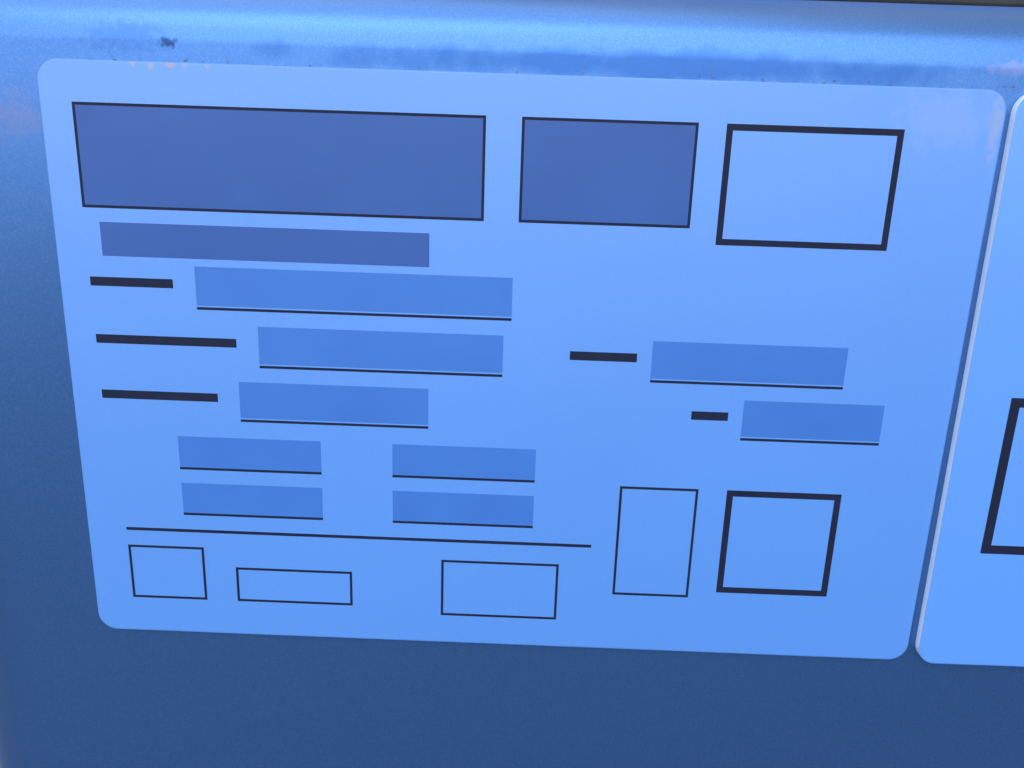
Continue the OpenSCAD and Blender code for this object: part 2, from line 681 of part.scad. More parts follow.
module pipe_fittings() color(zinc) place() {
  translate([pipe_x, unit_y, unit_z + block_h / 2]) pipe_nut();
  translate([pipe_x, block_front, rod_port_z]) rotate([90, 0, 0]) pipe_nut();
  for (z = [rod_port_z, head_port_z]) translate([-port_x, axis_y, z]) rotate([0, -90, 0]) pipe_nut();
  for (z = clamp_z) translate([0, axis_y, z]) difference() {
    union() {
      cylinder(h = clamp_w, r = barrel_r + 3);
      translate([pipe_x - 14, -11, 0]) cube([14 - pipe_x, 22, clamp_w]);
    }
    translate([0, 0, -1]) cylinder(h = clamp_w + 2, r = barrel_r + pin_clear);
    translate([pipe_x, 0, -1]) cylinder(h = clamp_w + 2, r = pipe_r + pin_clear);
  }
}

// Doors: a folded tray with a smooth inner skin, hinged on the left
door_w = 2 * (stile_x + door_lap);
door_z0 = bale_z - 8;
door_z1 = rail_z + rail_h / 2 - door_split / 2;
hatch_z0 = door_z1 + door_split;
hatch_z1 = header_z + door_lap / 2;
door_fold = 6;
latch_x = stile_x - 16;
module door_tray(z0, z1) translate([0, -door_face, (z0 + z1) / 2])
  tray(door_w, z1 - z0, door_t, sheet, door_fold);
module door_plate(z0, z1) translate([0, -door_gap - sheet / 2, (z0 + z1) / 2])
  cube([door_w - 2 * sheet - 2 * near, sheet, z1 - z0 - 2 * sheet - 2 * near], center = true);
module latch_hole() translate([latch_x, 1, latch_z]) rod_front(door_face + 2, latch_shaft_r + 2);
module bale_door() color(paint) place() difference() {
  door_tray(door_z0, door_z1);
  latch_hole();
}
module bale_door_skin() color(steel) place() difference() {
  door_plate(door_z0, door_z1);
  latch_hole();
}
module loading_hatch() color(paint) place() door_tray(hatch_z0, hatch_z1);
module hatch_skin() color(steel) place() door_plate(hatch_z0, hatch_z1);

// Hinges: one line of pins at the left; the frame's knuckles stand off the stile
hinge_x = -half_w + knuckle_r + 2;
hinge_y = -door_face - strap_t + knuckle_r;
frame_knuckle_h = 20;
knuckle_split = 0.5;
door_hinge_z = [door_z0 + hinge_inset, door_z1 - hinge_inset];
hatch_hinge_z = [hatch_z0 + hinge_inset, hatch_z1 - hinge_inset];
hinge_z = concat(door_hinge_z, hatch_hinge_z);
pin_span = knuckle_h + 2 * (frame_knuckle_h + knuckle_split);
module hinge_knuckles() color(dark_paint) place()
  for (z = hinge_z, s = [-1, 1]) translate([hinge_x, hinge_y, z + s * (knuckle_h / 2 + knuckle_split + frame_knuckle_h / 2)])
    difference() {
      linear_extrude(frame_knuckle_h, center = true) {
        circle(knuckle_r);
        translate([-knuckle_r, 0]) square([2 * knuckle_r, -hinge_y]);
      }
      cylinder(h = frame_knuckle_h + 2, r = hinge_pin_r + pin_clear / 2, center = true);
    }
module hinge_pins() color(zinc) place() for (z = hinge_z) translate([hinge_x, hinge_y, z]) {
  cylinder(h = pin_span, r = hinge_pin_r, center = true);
  translate([0, 0, pin_span / 2]) cylinder(h = 4, r = hinge_pin_r + 3);
}
module hinge_strap() {
  reach = -half_w + (half_w - stile_x - door_lap) - hinge_x + strap_len;
  difference() {
    linear_extrude(knuckle_h, center = true) {
      circle(knuckle_r);
      translate([0, -knuckle_r]) square([reach - knuckle_h / 2, strap_t]);
    }
    cylinder(h = knuckle_h + 2, r = hinge_pin_r + pin_clear, center = true);
  }
  translate([reach - knuckle_h / 2, -knuckle_r, 0]) intersection() {
    rotate([-90, 0, 0]) cylinder(h = strap_t, r = knuckle_h / 2);
    translate([0, 0, -knuckle_h / 2]) cube([knuckle_h, strap_t, knuckle_h]);
  }
  for (x = [reach - knuckle_h / 2, reach - strap_len * 0.62]) translate([x, -knuckle_r, 0])
    rotate([90, 0, 0]) hex_head(9, 5);
}

// Safety switches on the right stile, with keys on the doors, and the hatch's magnet
switch_w = 30;
switch_d = 36;
switch_h = 84;
key_t = 3;
key_x = half_w - 20;
switch_drop = 90;
door_switch_z = door_z1 - switch_drop;
hatch_switch_z = (hatch_z0 + hatch_z1) / 2;
magnet_w = 40;
magnet_h = 20;
module switch_key(z) {
  reach = key_x + 8 - (stile_x + door_lap) + 34;
  translate([key_x + 8 - reach, -door_face - key_t, z - 14]) cube([reach, key_t, 28]);
  translate([key_x - 3, -door_face - key_t, z - 9]) cube([6, door_face + key_t - switch_d - near, 18]);
}
module switches_and_catch() color("#c8372d") place() {
  for (z = [door_switch_z, hatch_switch_z]) translate([key_x, -switch_d / 2, z]) {
    linear_extrude(switch_h, center = true) rounded(switch_w, switch_d, 4);
  }
  translate([stile_x - magnet_w - 4, -door_gap + near, load_z])
    cube([magnet_w, liner_set - 1 + door_gap - near, magnet_h]);
}
module bale_door_fittings() color(zinc) place() {
  for (z = door_hinge_z) translate([hinge_x, hinge_y, z]) hinge_strap();
  switch_key(door_switch_z);
}
module hatch_fittings() color(zinc) place() {
  for (z = hatch_hinge_z) translate([hinge_x, hinge_y, z]) hinge_strap();
  switch_key(hatch_switch_z);
}

// Bale door latch: lever and shaft turn together, and the cam swings behind the stile
boss_w = 64;
boss_h = 96;
module latch_boss() color(zinc) place() translate([latch_x, -door_face, latch_z]) difference() {
  translate([0, -boss_t / 2, 0]) along_y(boss_t) rounded(boss_w, boss_h, 10);
  translate([0, 1, 0]) rod_front(boss_t + 2, latch_shaft_r + pin_clear);
}
cam_y = 6;
cam_t = 8;
cam_w = 20;
cam_len = stile_x - latch_x + cam_reach;
module latch_shaft() color(zinc) place() translate([latch_x, 0, latch_z]) {
  translate([0, cam_y + cam_t, 0]) rod_front(cam_y + cam_t + lever_face, latch_shaft_r);
  translate([0, cam_y + cam_t / 2, 0]) along_y(cam_t) {
    circle(cam_w / 2);
    translate([-cam_w / 2, -cam_len + cam_w / 2]) square([cam_w, cam_len - cam_w / 2]);
    translate([0, -cam_len + cam_w / 2]) circle(cam_w / 2);
  }
}
hub_r = 22;
lever_w = 26;
module latch_lever() color(black) place() translate([latch_x, -lever_face, latch_z]) {
  translate([0, -lever_t / 2, 0]) along_y(lever_t) {
    circle(hub_r);
    polygon([[0, hub_r * 0.95], [-lever_len, lever_w / 2], [-lever_len, -lever_w / 2], [0, -hub_r * 0.95]]);
    translate([-lever_len, 0]) circle(lever_w / 2);
  }
  translate([-lever_len, -lever_t, 0]) rod_front(knob_neck + 6, 9);
  translate([-lever_len, -lever_t - knob_neck - knob_d / 2, 0]) sphere(d = knob_d);
}
keeper_t = cam_y - sheet - near;
module latch_keeper() color(steel) place() translate([stile_x, sheet, latch_z - 24])
  cube([cam_reach + 6, keeper_t, 48]);

// Loading hatch handle: a bent round bar
handle_len = 130;
handle_out = 42;
handle_r = 8;
module hatch_handle() color(black) place() translate([stile_x - 20, -door_face, hatch_switch_z - handle_len / 2])
  pipe_run([[0, 0, 0], [0, -handle_out, 0], [0, -handle_out, handle_len], [0, 0, handle_len]], handle_r, 18);

// Control box on the header, with its switches
panel_x = stile_x - 6 - panel_w / 2;
panel_z = header_z + header_h - 20 - panel_h / 2;
panel_round = 5;
panel_wall = 2;
row_low = -30;
row_high = 32;
switch_at = [-92, 4];
start_at = [-30, row_low];
lamp_at = [-30, row_high];
lamp2_at = [18, row_high];
stop_at = [84, 2];
module on_panel(at) translate([panel_x + at[0], -panel_d, panel_z + at[1]]) children();
module control_box() color("#d9dbdd") place() difference() {
  translate([panel_x, -panel_d, panel_z]) tray(panel_w, panel_h, panel_d, panel_wall, panel_round);
  on_panel(start_at) translate([0, panel_wall + 1, 0]) rod_front(panel_wall + 2, button_r + near);
  on_panel(stop_at) translate([0, panel_wall + 1, 0]) rod_front(panel_wall + 2, button_r + near);
  on_panel(switch_at) translate([0, panel_wall + 1, 0]) rod_front(panel_wall + 2, 6 + near);
}
bezel_t = 5;
bezel_r = button_r + 4;
module bezel(at, r, hole) on_panel(at) difference() {
  rod_front(bezel_t, r);
  translate([0, 1, 0]) rod_front(bezel_t + 2, hole);
}
module button_bezels() color(zinc) place() {
  bezel(start_at, bezel_r, button_r + near);
  bezel(stop_at, bezel_r + 2, button_r + near);
  for (at = [lamp_at, lamp2_at]) bezel(at, bezel_r, button_r);
  on_panel(switch_at) difference() {
    translate([0, -bezel_t / 2, 0]) along_y(bezel_t) rounded(58, 58, 5);
    translate([0, 1, 0]) rod_front(bezel_t + 2, 6 + near);
  }
}
module signal_lamp() color("#e8e4d2") place() for (at = [lamp_at, lamp2_at]) on_panel(at)
  translate([0, 0, 0]) rotate([90, 0, 0]) rotate_extrude() polygon([[0, 0], [button_r, 0],
    [button_r, bezel_t + 4], [button_r - 3, bezel_t + 8], [0, bezel_t + 9]]);
button_travel = 4;
button_back = 16;
module start_button() color("#3f9b4f") place() on_panel(start_at) translate([0, button_back, 0])
  rod_front(button_back + bezel_t + button_travel + 2, button_r);
mushroom_h = 14;
module stop_button() color("#c8221f") place() on_panel(stop_at) {
  translate([0, button_back, 0]) rod_front(button_back + bezel_t + button_travel + 3, button_r);
  translate([0, -bezel_t - button_travel - 1, 0]) rotate([90, 0, 0]) rotate_extrude() {
    square([mushroom_r - 3, mushroom_h]);
    translate([0, 3]) square([mushroom_r, mushroom_h - 6]);
    translate([mushroom_r - 3, 3]) circle(3);
    translate([mushroom_r - 3, mushroom_h - 3]) circle(3);
  }
}
module main_switch() color("#c8221f") place() on_panel(switch_at) {
  translate([0, button_back, 0]) rod_front(button_back + bezel_t + near + 1, 6);
  translate([0, -bezel_t - near, 0]) {
    rod_front(8, 20);
    translate([0, -13, 0]) along_y(12) rounded(12, 42, 5);
  }
}

// Gland for the mains cable, in the top plate's rear corner
gland_inset = 46;
module cable_gland() color(black) place() translate([-half_w + gland_inset, cab_d - gland_inset, cap_top]) {
  hex_head(15, 9);
  translate([0, 0, 9]) difference() {
    rotate_extrude() polygon([[0, 0], [12, 0], [12, 8], [9, 14], [0, 14]]);
    cylinder(h = 15, r = 5);
  }
}

// Strap reels on a rod across the open bay at the back
reel_y = (floor_back + cab_d) / 2;
reel_z = floor_z + 30 + reel_r;
rack_t = 6;
rack_w = 50;
rack_x = stile_x - 20;
reel_hub_r = reel_rod_r + 6;
reel_pitch = 2 * (rack_x - rack_t) / strap_n;
flange_t = 3;
module reel_rack() color(dark_paint) place() {
  translate([0, reel_y, reel_z]) rod_x(2 * rack_x, reel_rod_r);
  mirrored_x() translate([rack_x - rack_t, reel_y - rack_w / 2, floor_z]) difference() {
    cube([rack_t, rack_w, reel_z - floor_z + reel_rod_r + 12]);
    translate([rack_t / 2, rack_w / 2, reel_z - floor_z]) rod_x(rack_t + 2, reel_rod_r);
  }
  mirrored_x() translate([rack_x - rack_t - 30, reel_y - rack_w / 2, floor_z]) cube([30, rack_w, rack_t]);
}
module strap_reel(i) color("#1f6f4a") place()
  translate([(i - (strap_n + 1) / 2) * reel_pitch, reel_y, reel_z]) rotate([0, 90, 0]) difference() {
    union() {
      for (s = [-1, 1]) translate([0, 0, s * (reel_w + flange_t) / 2]) cylinder(h = flange_t, r = reel_r, center = true);
      cylinder(h = reel_w, r = reel_r - 10, center = true);
    }
    cylinder(h = reel_w + 2 * flange_t + 2, r = reel_rod_r + pin_clear, center = true);
  }
module strap_reel_1() strap_reel(1);
module strap_reel_2() strap_reel(2);
module strap_reel_3() strap_reel(3);

// Plates stuck side by side on the right panel, under its top fold
plate_z = cab_h - fold_r - plate_drop;
plate_y = corner_r + plate_inset;
plate2_turn = 0.3;
module type_plate() color("#dfe6ee") place() translate([half_w + plate_t / 2, plate_y + plate_w / 2, plate_z - plate_h / 2])
  along_x(plate_t) rounded(plate_w, plate_h, plate_corner);
module second_plate() color("#dfe6ee") place()
  translate([half_w + plate2_t / 2, plate_y + plate_w + plate_gap, plate_z]) rotate([plate2_turn, 0, 0])
    translate([0, plate_w / 2, -plate_h / 2]) along_x(plate2_t) rounded(plate_w, plate_h, plate_corner);

base_frame();
chamber_floor();
floor_bars();
left_side_panel();
right_side_panel();
rear_panel();
front_header();
middle_rail();
side_liners();
rear_liner();
top_plate();
press_beam();
cylinder_barrel();
cylinder_gland();
cylinder_cap();
cylinder_bolts();
oil_tank();
unit_brackets();
valve_block();
solenoid_valve();
pressure_gauge();
filler_cap();
motor_frame();
motor_end_shield();
fan_cover();
capacitor_box();
motor_cable();
hydraulic_pipes();
pipe_fittings();
hinge_knuckles();
hinge_pins();
latch_keeper();
switches_and_catch();
control_box();
button_bezels();
signal_lamp();
cable_gland();
reel_rack();
type_plate();
second_plate();
bale_door();
bale_door_skin();
bale_door_fittings();
latch_boss();
latch_lever();
latch_shaft();
loading_hatch();
hatch_skin();
hatch_fittings();
hatch_handle();
platen();
pressing_bars();
piston_rod();
clevis_pin();
main_switch();
stop_button();
start_button();
strap_reel_1();
strap_reel_2();
strap_reel_3();
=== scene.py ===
import json
import logging
import math
from dataclasses import dataclass, field
from enum import Enum
from typing import Iterable, Sequence

import bmesh
import bpy
from mathutils import Matrix, Vector


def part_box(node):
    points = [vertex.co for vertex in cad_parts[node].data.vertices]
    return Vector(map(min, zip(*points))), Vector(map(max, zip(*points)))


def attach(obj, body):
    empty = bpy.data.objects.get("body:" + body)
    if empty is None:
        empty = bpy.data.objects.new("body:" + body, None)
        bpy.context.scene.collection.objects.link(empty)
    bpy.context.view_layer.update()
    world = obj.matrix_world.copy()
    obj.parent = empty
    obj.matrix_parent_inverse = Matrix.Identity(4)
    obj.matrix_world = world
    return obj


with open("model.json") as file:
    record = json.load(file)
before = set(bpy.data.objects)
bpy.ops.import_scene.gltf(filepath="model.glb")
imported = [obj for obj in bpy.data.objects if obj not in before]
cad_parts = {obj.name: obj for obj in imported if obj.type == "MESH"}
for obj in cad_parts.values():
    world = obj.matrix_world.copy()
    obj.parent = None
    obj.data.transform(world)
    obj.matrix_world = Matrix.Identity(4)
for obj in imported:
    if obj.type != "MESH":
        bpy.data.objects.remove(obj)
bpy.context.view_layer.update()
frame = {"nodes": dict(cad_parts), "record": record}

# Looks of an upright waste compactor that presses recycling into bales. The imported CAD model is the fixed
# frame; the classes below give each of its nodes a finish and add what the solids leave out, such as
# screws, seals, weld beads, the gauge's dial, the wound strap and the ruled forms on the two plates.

LOG =logging.getLogger("compactor")
MM = 0.001
Pair = tuple[float, float]
Point = tuple[float, float, float]
Rect = tuple[float, float, float, float]
# Edges flatter than this look smooth
SMOOTH_BELOW = math.radians(35)
# A font's size over the height of its digits
FONT_SCALE = 1.4


class Axis(Enum):
    """The direction in which a piece points."""

    RIGHT = (1.0, 0.0, 0.0)
    BACK = (0.0, 1.0, 0.0)
    FRONT = (0.0, -1.0, 0.0)
    UP = (0.0, 0.0, 1.0)


# Finishes


def srgb(code: str) -> Rect:
    """Turns a colour code into the linear colour that Blender works in.

    Args:
        code: Six hex digits after a hash, in sRGB.

    Returns:
        Red, green, blue and alpha.
    """
    parts = [int(code[i : i + 2], 16) / 255 for i in (1, 3, 5)]
    return (*(c / 12.92 if c <= 0.04045 else ((c + 0.055) / 1.055) ** 2.4 for c in parts), 1.0)


def feed(tree: bpy.types.NodeTree, node: bpy.types.Node, inputs: dict) -> None:
    """Sets or links a node's inputs.

    Args:
        tree: The node's tree.
        node: The node.
        inputs: Each input's name or number, with a value, a socket, or a node whose first output feeds it.
    """
    for key, value in inputs.items():
        if isinstance(value, bpy.types.Node):
            value = value.outputs[0]
        if isinstance(value, bpy.types.NodeSocket):
            tree.links.new(value, node.inputs[key])
        else:
            node.inputs[key].default_value = value


def add(tree: bpy.types.NodeTree, kind: str, inputs: dict | None = None, **settings: object) -> bpy.types.Node:
    """Adds a node with its settings, its values and its links.

    Args:
        tree: The node tree it goes into.
        kind: Blender's name for the node.
        inputs: Its inputs, as feed() takes them.
        **settings: The node's own properties.

    Returns:
        The node.
    """
    node = tree.nodes.new(kind)
    for name, value in settings.items():
        setattr(node, name, value)
    feed(tree, node, inputs or {})
    return node


class Skin:
    """A material's nodes while a finish is made of them. A pattern is a node or a socket with values from 0 to 1."""

    def __init__(self, tree: bpy.types.NodeTree) -> None:
        """Adds the surface shader, the output and the Object coordinates.

        Args:
            tree: The material's empty node tree.
        """
        self.tree = tree
        self.shader = self.add("ShaderNodeBsdfPrincipled")
        self.add("ShaderNodeOutputMaterial", {"Surface": self.shader})
        self.place = self.add("ShaderNodeTexCoord").outputs["Object"]

    def add(self, kind: str, inputs: dict | None = None, **settings: object) -> bpy.types.Node:
        """Adds a node to the material, as add() does."""
        return add(self.tree, kind, inputs, **settings)

    def give(self, inputs: dict) -> None:
        """Sets or links the shader's inputs, as feed() does."""
        feed(self.tree, self.shader, inputs)

    def grain(self, size: float, detail: float = 2.0, stretch: Point = (1.0, 1.0, 1.0),
              shift: float = 0.0) -> bpy.types.Node:
        """A soft random pattern.

        Args:
            size: The width of its grains in mm.
            detail: Its finer layers.
            stretch: How much longer its grains are along each axis.
            shift: Moves the pattern, so that two of one size differ.

        Returns:
            The pattern.
        """
        place = self.place
        if stretch != (1.0, 1.0, 1.0) or shift:
            place = self.add("ShaderNodeMapping", {"Vector": place, "Location": (shift,) * 3,
                                                   "Scale": tuple(1 / s for s in stretch)})
        return self.add("ShaderNodeTexNoise", {"Vector": place, "Scale": 1 / (size * MM), "Detail": detail,
                                               "Roughness": 0.55})

    def tint(self, pattern: object, first: object, second: object, most: float = 1.0, low: float = 0.35,
             high: float = 0.7) -> bpy.types.NodeSocket:
        """Mixes a second colour into a first one where a pattern is strong.

        Args:
            pattern: The pattern.
            first: A colour code or a socket.
            second: A colour code or a socket.
            most: The share of the second colour where it shows most.
            low: The pattern's value where it starts to show.
            high: The pattern's value where it shows most.

        Returns:
            The mixed colour.
        """
        share = self.add("ShaderNodeMapRange", {0: pattern, 1: low, 2: high, 4: most})
        first, second = (srgb(colour) if isinstance(colour, str) else colour for colour in (first, second))
        return self.add("ShaderNodeMix", {0: share, 6: first, 7: second}, data_type="RGBA").outputs[2]

    def polish(self, pattern: object, low: float, high: float, more: object = 0.0) -> None:
        """Makes the surface shinier or duller with a pattern.

        Args:
            pattern: The pattern.
            low: The roughness where it is weak.
            high: The roughness where it is strong.
            more: What comes on top.
        """
        rough = self.add("ShaderNodeMapRange", {0: pattern, 1: 0.3, 2: 0.7, 3: low, 4: high})
        self.give({"Roughness": self.add("ShaderNodeMath", {0: rough, 1: more}, operation="ADD", use_clamp=True)})

    def emboss(self, pattern: object, depth: float, edge: float = 0.0) -> None:
        """Gives the surface a relief, on top of any that it has.

        Args:
            pattern: The relief's pattern.
            depth: The relief's height in mm.
            edge: The radius in mm to which sharp edges look broken.
        """
        inputs = {"Height": pattern, "Distance": depth * MM, "Strength": 1.0}
        normal = self.shader.inputs["Normal"]
        if normal.is_linked:
            inputs["Normal"] = normal.links[0].from_socket
        elif edge:
            inputs["Normal"] = self.add("ShaderNodeBevel", {"Radius": edge * MM}, samples=4)
        self.give({"Normal": self.add("ShaderNodeBump", inputs)})


@dataclass(frozen=True)
class Mark:
    """A soft-edged mark on a side face, which breaks up into speckles. Most are dirt and rust; some are painted
    reflections.

    Its sizes are in mm, and its middle is to the right of the type plate's left edge and below its top edge.
    """

    right: float
    below: float
    half_wide: float
    half_tall: float
    colour: str
    strength: float
    speckle: float = 1.0
    deep: float = 20.0

    def stain(self, skin: Skin, under: object) -> bpy.types.NodeSocket:
        """Lays the mark over a colour.

        Args:
            skin: The material that gets the mark.
            under: The colour under it.

        Returns:
            The colour with the mark on it.
        """
        low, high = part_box("type_plate")
        middle = Vector((high.x, low.y + self.right * MM, high.z - self.below * MM))
        size = Vector((self.deep, self.half_wide, self.half_tall)) * MM
        near = skin.add("ShaderNodeMapping", {"Vector": skin.place, "Scale": tuple(1 / c for c in size),
                                              "Location": tuple(-m / c for m, c in zip(middle, size))})
        away = skin.add("ShaderNodeVectorMath", {0: near}, operation="LENGTH").outputs["Value"]
        grains = skin.add("ShaderNodeMapRange", {0: skin.grain(self.speckle, detail=3, shift=self.right), 1: 0.3,
                                                 2: 0.7, 3: -0.45, 4: 0.45})
        ragged = skin.add("ShaderNodeMath", {0: away, 1: grains}, operation="ADD")
        return skin.tint(ragged, under, self.colour, self.strength, low=1.1, high=0.45)


@dataclass(frozen=True)
class Finish:
    """A surface: the material that the real piece is made of, and how it was worked. Its patterns' sizes are in mm."""

    name: str
    colour: str
    roughness: float = 0.5

    def material(self) -> bpy.types.Material:
        """Makes the material once, and gives the same one back after that.

        Returns:
            The material.
        """
        made = bpy.data.materials.get(self.name)
        if made is None:
            made = bpy.data.materials.new(self.name)
            made.use_nodes = True
            made.node_tree.nodes.clear()
            skin = Skin(made.node_tree)
            skin.give({"Base Color": srgb(self.colour), "Roughness": self.roughness})
            self.dress(skin)
        return made

    def dress(self, skin: Skin) -> None:
        """Adds the finish's own nodes; a plain finish has none."""


@dataclass(frozen=True)
class PowderCoat(Finish):
    """Polyester powder baked on sheet steel: an even colour under a faint orange peel, glossy where it is clean.

    The flakes are aluminium and mirror the surroundings softly. Real pigment grains are under 0.1 mm; these are
    coarser, to show.
    """

    roughness: float = 0.36
    shade: str = "#40506b"
    peel: float = 1.6
    peel_depth: float = 0.012
    dust: float = 0.35
    edge: float = 0.6
    coat: float = 0.25
    flake: float = 0.0
    marks: tuple[Mark, ...] = ()
    cloud: float = 140.0
    patch: float = 35.0
    pigment: float = 0.22

    def dress(self, skin: Skin) -> None:
        """Adds clouds, pigment grains, marks of dirt and painted reflections, dust from above and the orange peel.

        Args:
            skin: The material.
        """
        clouds = skin.grain(self.cloud, detail=3)
        colour = skin.tint(clouds, self.colour, self.shade, most=0.45)
        grit = skin.grain(self.pigment, detail=1, shift=3.1)
        colour = skin.tint(grit, colour, "#8fa6cc", most=0.15, low=0.45, high=0.8)
        # Marks: dirt, and painted reflections on the panel round the plates
        for mark in self.marks:
            colour = mark.stain(skin, colour)
        up = skin.add("ShaderNodeSeparateXYZ", {0: skin.add("ShaderNodeNewGeometry").outputs["Normal"]}).outputs[2]
        level = skin.add("ShaderNodeMapRange", {0: up, 1: 0.5, 2: 0.95, 4: self.dust})
        patches = skin.grain(self.patch, detail=5, shift=1.7)
        patches = skin.add("ShaderNodeMapRange", {0: patches, 1: 0.3, 2: 0.7, 3: 0.3})
        lying = skin.add("ShaderNodeMath", {0: level, 1: patches}, operation="MULTIPLY")
        skin.give({"Base Color": skin.tint(lying, colour, "#a39d90", low=0, high=1), "Metallic": self.flake,
                   "Coat Weight": self.coat, "Coat Roughness": 0.12})
        skin.polish(clouds, self.roughness - 0.04, self.roughness + 0.06, lying)
        skin.emboss(skin.grain(self.peel, detail=1), self.peel_depth, self.edge)
        skin.emboss(grit, self.peel_depth / 10)


@dataclass(frozen=True)
class RolledSteel(Finish):
    """Bare rolled steel sheet: dull clouds, rubbed streaks and a fine grain, longer along each axis by its run."""

    roughness: float = 0.36
    run: Point = (1.0, 1.0, 60.0)
    scuffs: float = 0.6
    rubbed: Pair = (0.56, 0.72)
    line: float = 0.9
    streak: float = 7.0
    cloud: float = 90.0

    def dress(self, skin: Skin) -> None:
        """Adds the rolling grain, the clouds and the streaks.

        Args:
            skin: The material.
        """
        clouds = skin.grain(self.cloud, detail=4, shift=0.6)
        streaks = skin.grain(self.streak, detail=3, stretch=self.run, shift=2.2)
        colour = skin.tint(clouds, self.colour, "#6f7278", most=0.5)
        low, high = self.rubbed
        skin.give({"Base Color": skin.tint(streaks, colour, "#c9ccd0", self.scuffs, low, high), "Metallic": 1.0})
        shine = skin.add("ShaderNodeMapRange", {0: streaks, 1: low, 2: high, 4: -0.1 * self.scuffs})
        skin.polish(clouds, self.roughness - 0.08, self.roughness + 0.12, shine)
        skin.emboss(skin.grain(self.line, stretch=self.run), depth=0.012, edge=0.4)


@dataclass(frozen=True)
class ZincPlate(Finish):
    """Bright electroplated zinc: silvery with a faint warm and blue bloom, and dull where it was handled."""

    roughness: float = 0.3
    bloom: float = 14.0
    grit: float = 0.5

    def dress(self, skin: Skin) -> None:
        """Adds the bloom and the plating's fine grain.

        Args:
            skin: The material.
        """
        clouds = skin.grain(self.bloom, detail=3)
        skin.give({"Base Color": skin.tint(clouds, "#b9bfc9", self.colour, high=0.65), "Metallic": 1.0})
        skin.polish(clouds, self.roughness - 0.06, self.roughness + 0.14)
        skin.emboss(skin.grain(self.grit), depth=0.01, edge=0.4)


@dataclass(frozen=True)
class GroundMetal(Finish):
    """Ground or turned metal: fine rings or lines on a bright surface, longer along each axis by their run."""

    roughness: float = 0.14
    run: Point = (30.0, 30.0, 1.0)
    pitch: float = 0.6
    mark_depth: float = 0.002
    film: float = 30.0

    def dress(self, skin: Skin) -> None:
        """Adds the tool marks and a thin film of dirt.

        Args:
            skin: The material.
        """
        marks = skin.grain(self.pitch, stretch=self.run)
        film = skin.tint(skin.grain(self.film, detail=3), self.colour, "#6d7075", most=0.3, low=0.4)
        skin.give({"Base Color": film, "Metallic": 1.0})
        skin.polish(marks, self.roughness * 0.7, self.roughness * 1.5)
        skin.emboss(marks, self.mark_depth, edge=0.3)


@dataclass(frozen=True)
class Moulding(Finish):
    """Injection-moulded plastic or rubber: one colour, a spark-eroded grain, greyer where hands rub it."""

    roughness: float = 0.45
    cell: float = 0.5
    cell_depth: float = 0.02
    rub: str = "#55575a"
    coat: float = 0.0
    patch: float = 22.0

    def dress(self, skin: Skin) -> None:
        """Adds the mould's grain and the rubbed places.

        Args:
            skin: The material.
        """
        worn = skin.grain(self.patch, detail=4)
        skin.give({"Base Color": skin.tint(worn, self.colour, self.rub, most=0.35, low=0.5, high=0.8),
                   "Coat Weight": self.coat, "Coat Roughness": 0.1})
        skin.polish(worn, self.roughness + 0.05, self.roughness - 0.08)
        skin.emboss(skin.grain(self.cell, detail=1), self.cell_depth, edge=0.4)


@dataclass(frozen=True)
class Lens(Finish):
    """Moulded polycarbonate over a lamp: glossy, milky, with fine prisms."""

    roughness: float = 0.12
    clear: float = 0.35
    prism: float = 1.2

    def dress(self, skin: Skin) -> None:
        """Adds the prisms.

        Args:
            skin: The material.
        """
        skin.give({"Transmission Weight": self.clear, "IOR": 1.58})
        waves = skin.add("ShaderNodeTexWave", {"Vector": skin.place, "Scale": 1 / (self.prism * MM * 3)},
                         bands_direction="Z")
        skin.emboss(waves.outputs[1], depth=0.03)


@dataclass(frozen=True)
class LabelFilm(Finish):
    """Printed polyester film on a stiff backing: satin, faintly uneven, with its cut edge painted near white as a
    highlight.
    """

    roughness: float = 0.45
    shade: str = "#86b9f6"
    # The near white painted on the cut edge: a painted highlight
    core: str = "#e9f3ff"
    specks: float = 0.5
    marks: tuple[Mark, ...] = ()
    apart: float = 7.0
    cloud: float = 30.0
    grit: float = 0.35
    wave: float = 9.0
    film_ior: float = 1.62

    def dress(self, skin: Skin) -> None:
        """Adds clouds, specks, marks of dirt and a painted reflection, the cut edge's painted highlight, the clear
        layer and the film's faint waviness.

        Args:
            skin: The material.
        """
        colour = skin.tint(skin.grain(self.cloud), self.colour, self.shade, most=0.4)
        fine = skin.grain(self.grit, shift=0.4)
        colour = skin.tint(fine, colour, "#6f9fe0", most=0.12, low=0.4, high=0.8)
        cells = skin.add("ShaderNodeTexVoronoi", {"Vector": skin.place, "Scale": 1 / (self.apart * MM)})
        chance = skin.add("ShaderNodeSeparateColor", {0: cells.outputs["Color"]})
        near = skin.add("ShaderNodeMapRange", {0: cells, 1: 0.018, 2: 0.035, 3: self.specks, 4: 0.0})
        kept = skin.add("ShaderNodeMapRange", {0: chance, 1: 0.7, 2: 0.72})
        few = skin.add("ShaderNodeMath", {0: near, 1: kept}, operation="MULTIPLY")
        colour = skin.tint(few, colour, "#5a5348", low=0, high=1)
        for mark in self.marks:
            colour = mark.stain(skin, colour)
        # Painted highlight: faces that don't look to the right, the cut edges, are painted near white
        out = skin.add("ShaderNodeSeparateXYZ", {0: skin.add("ShaderNodeNewGeometry").outputs["Normal"]})
        skin.give({"Base Color": skin.tint(out, self.core, colour, low=0.3), "IOR": self.film_ior,
                   "Coat Weight": 1.0, "Coat IOR": self.film_ior, "Coat Roughness": 0.52})
        skin.emboss(skin.grain(self.wave, detail=1, shift=5.0), depth=0.015, edge=0.3)
        skin.emboss(fine, depth=0.0012)


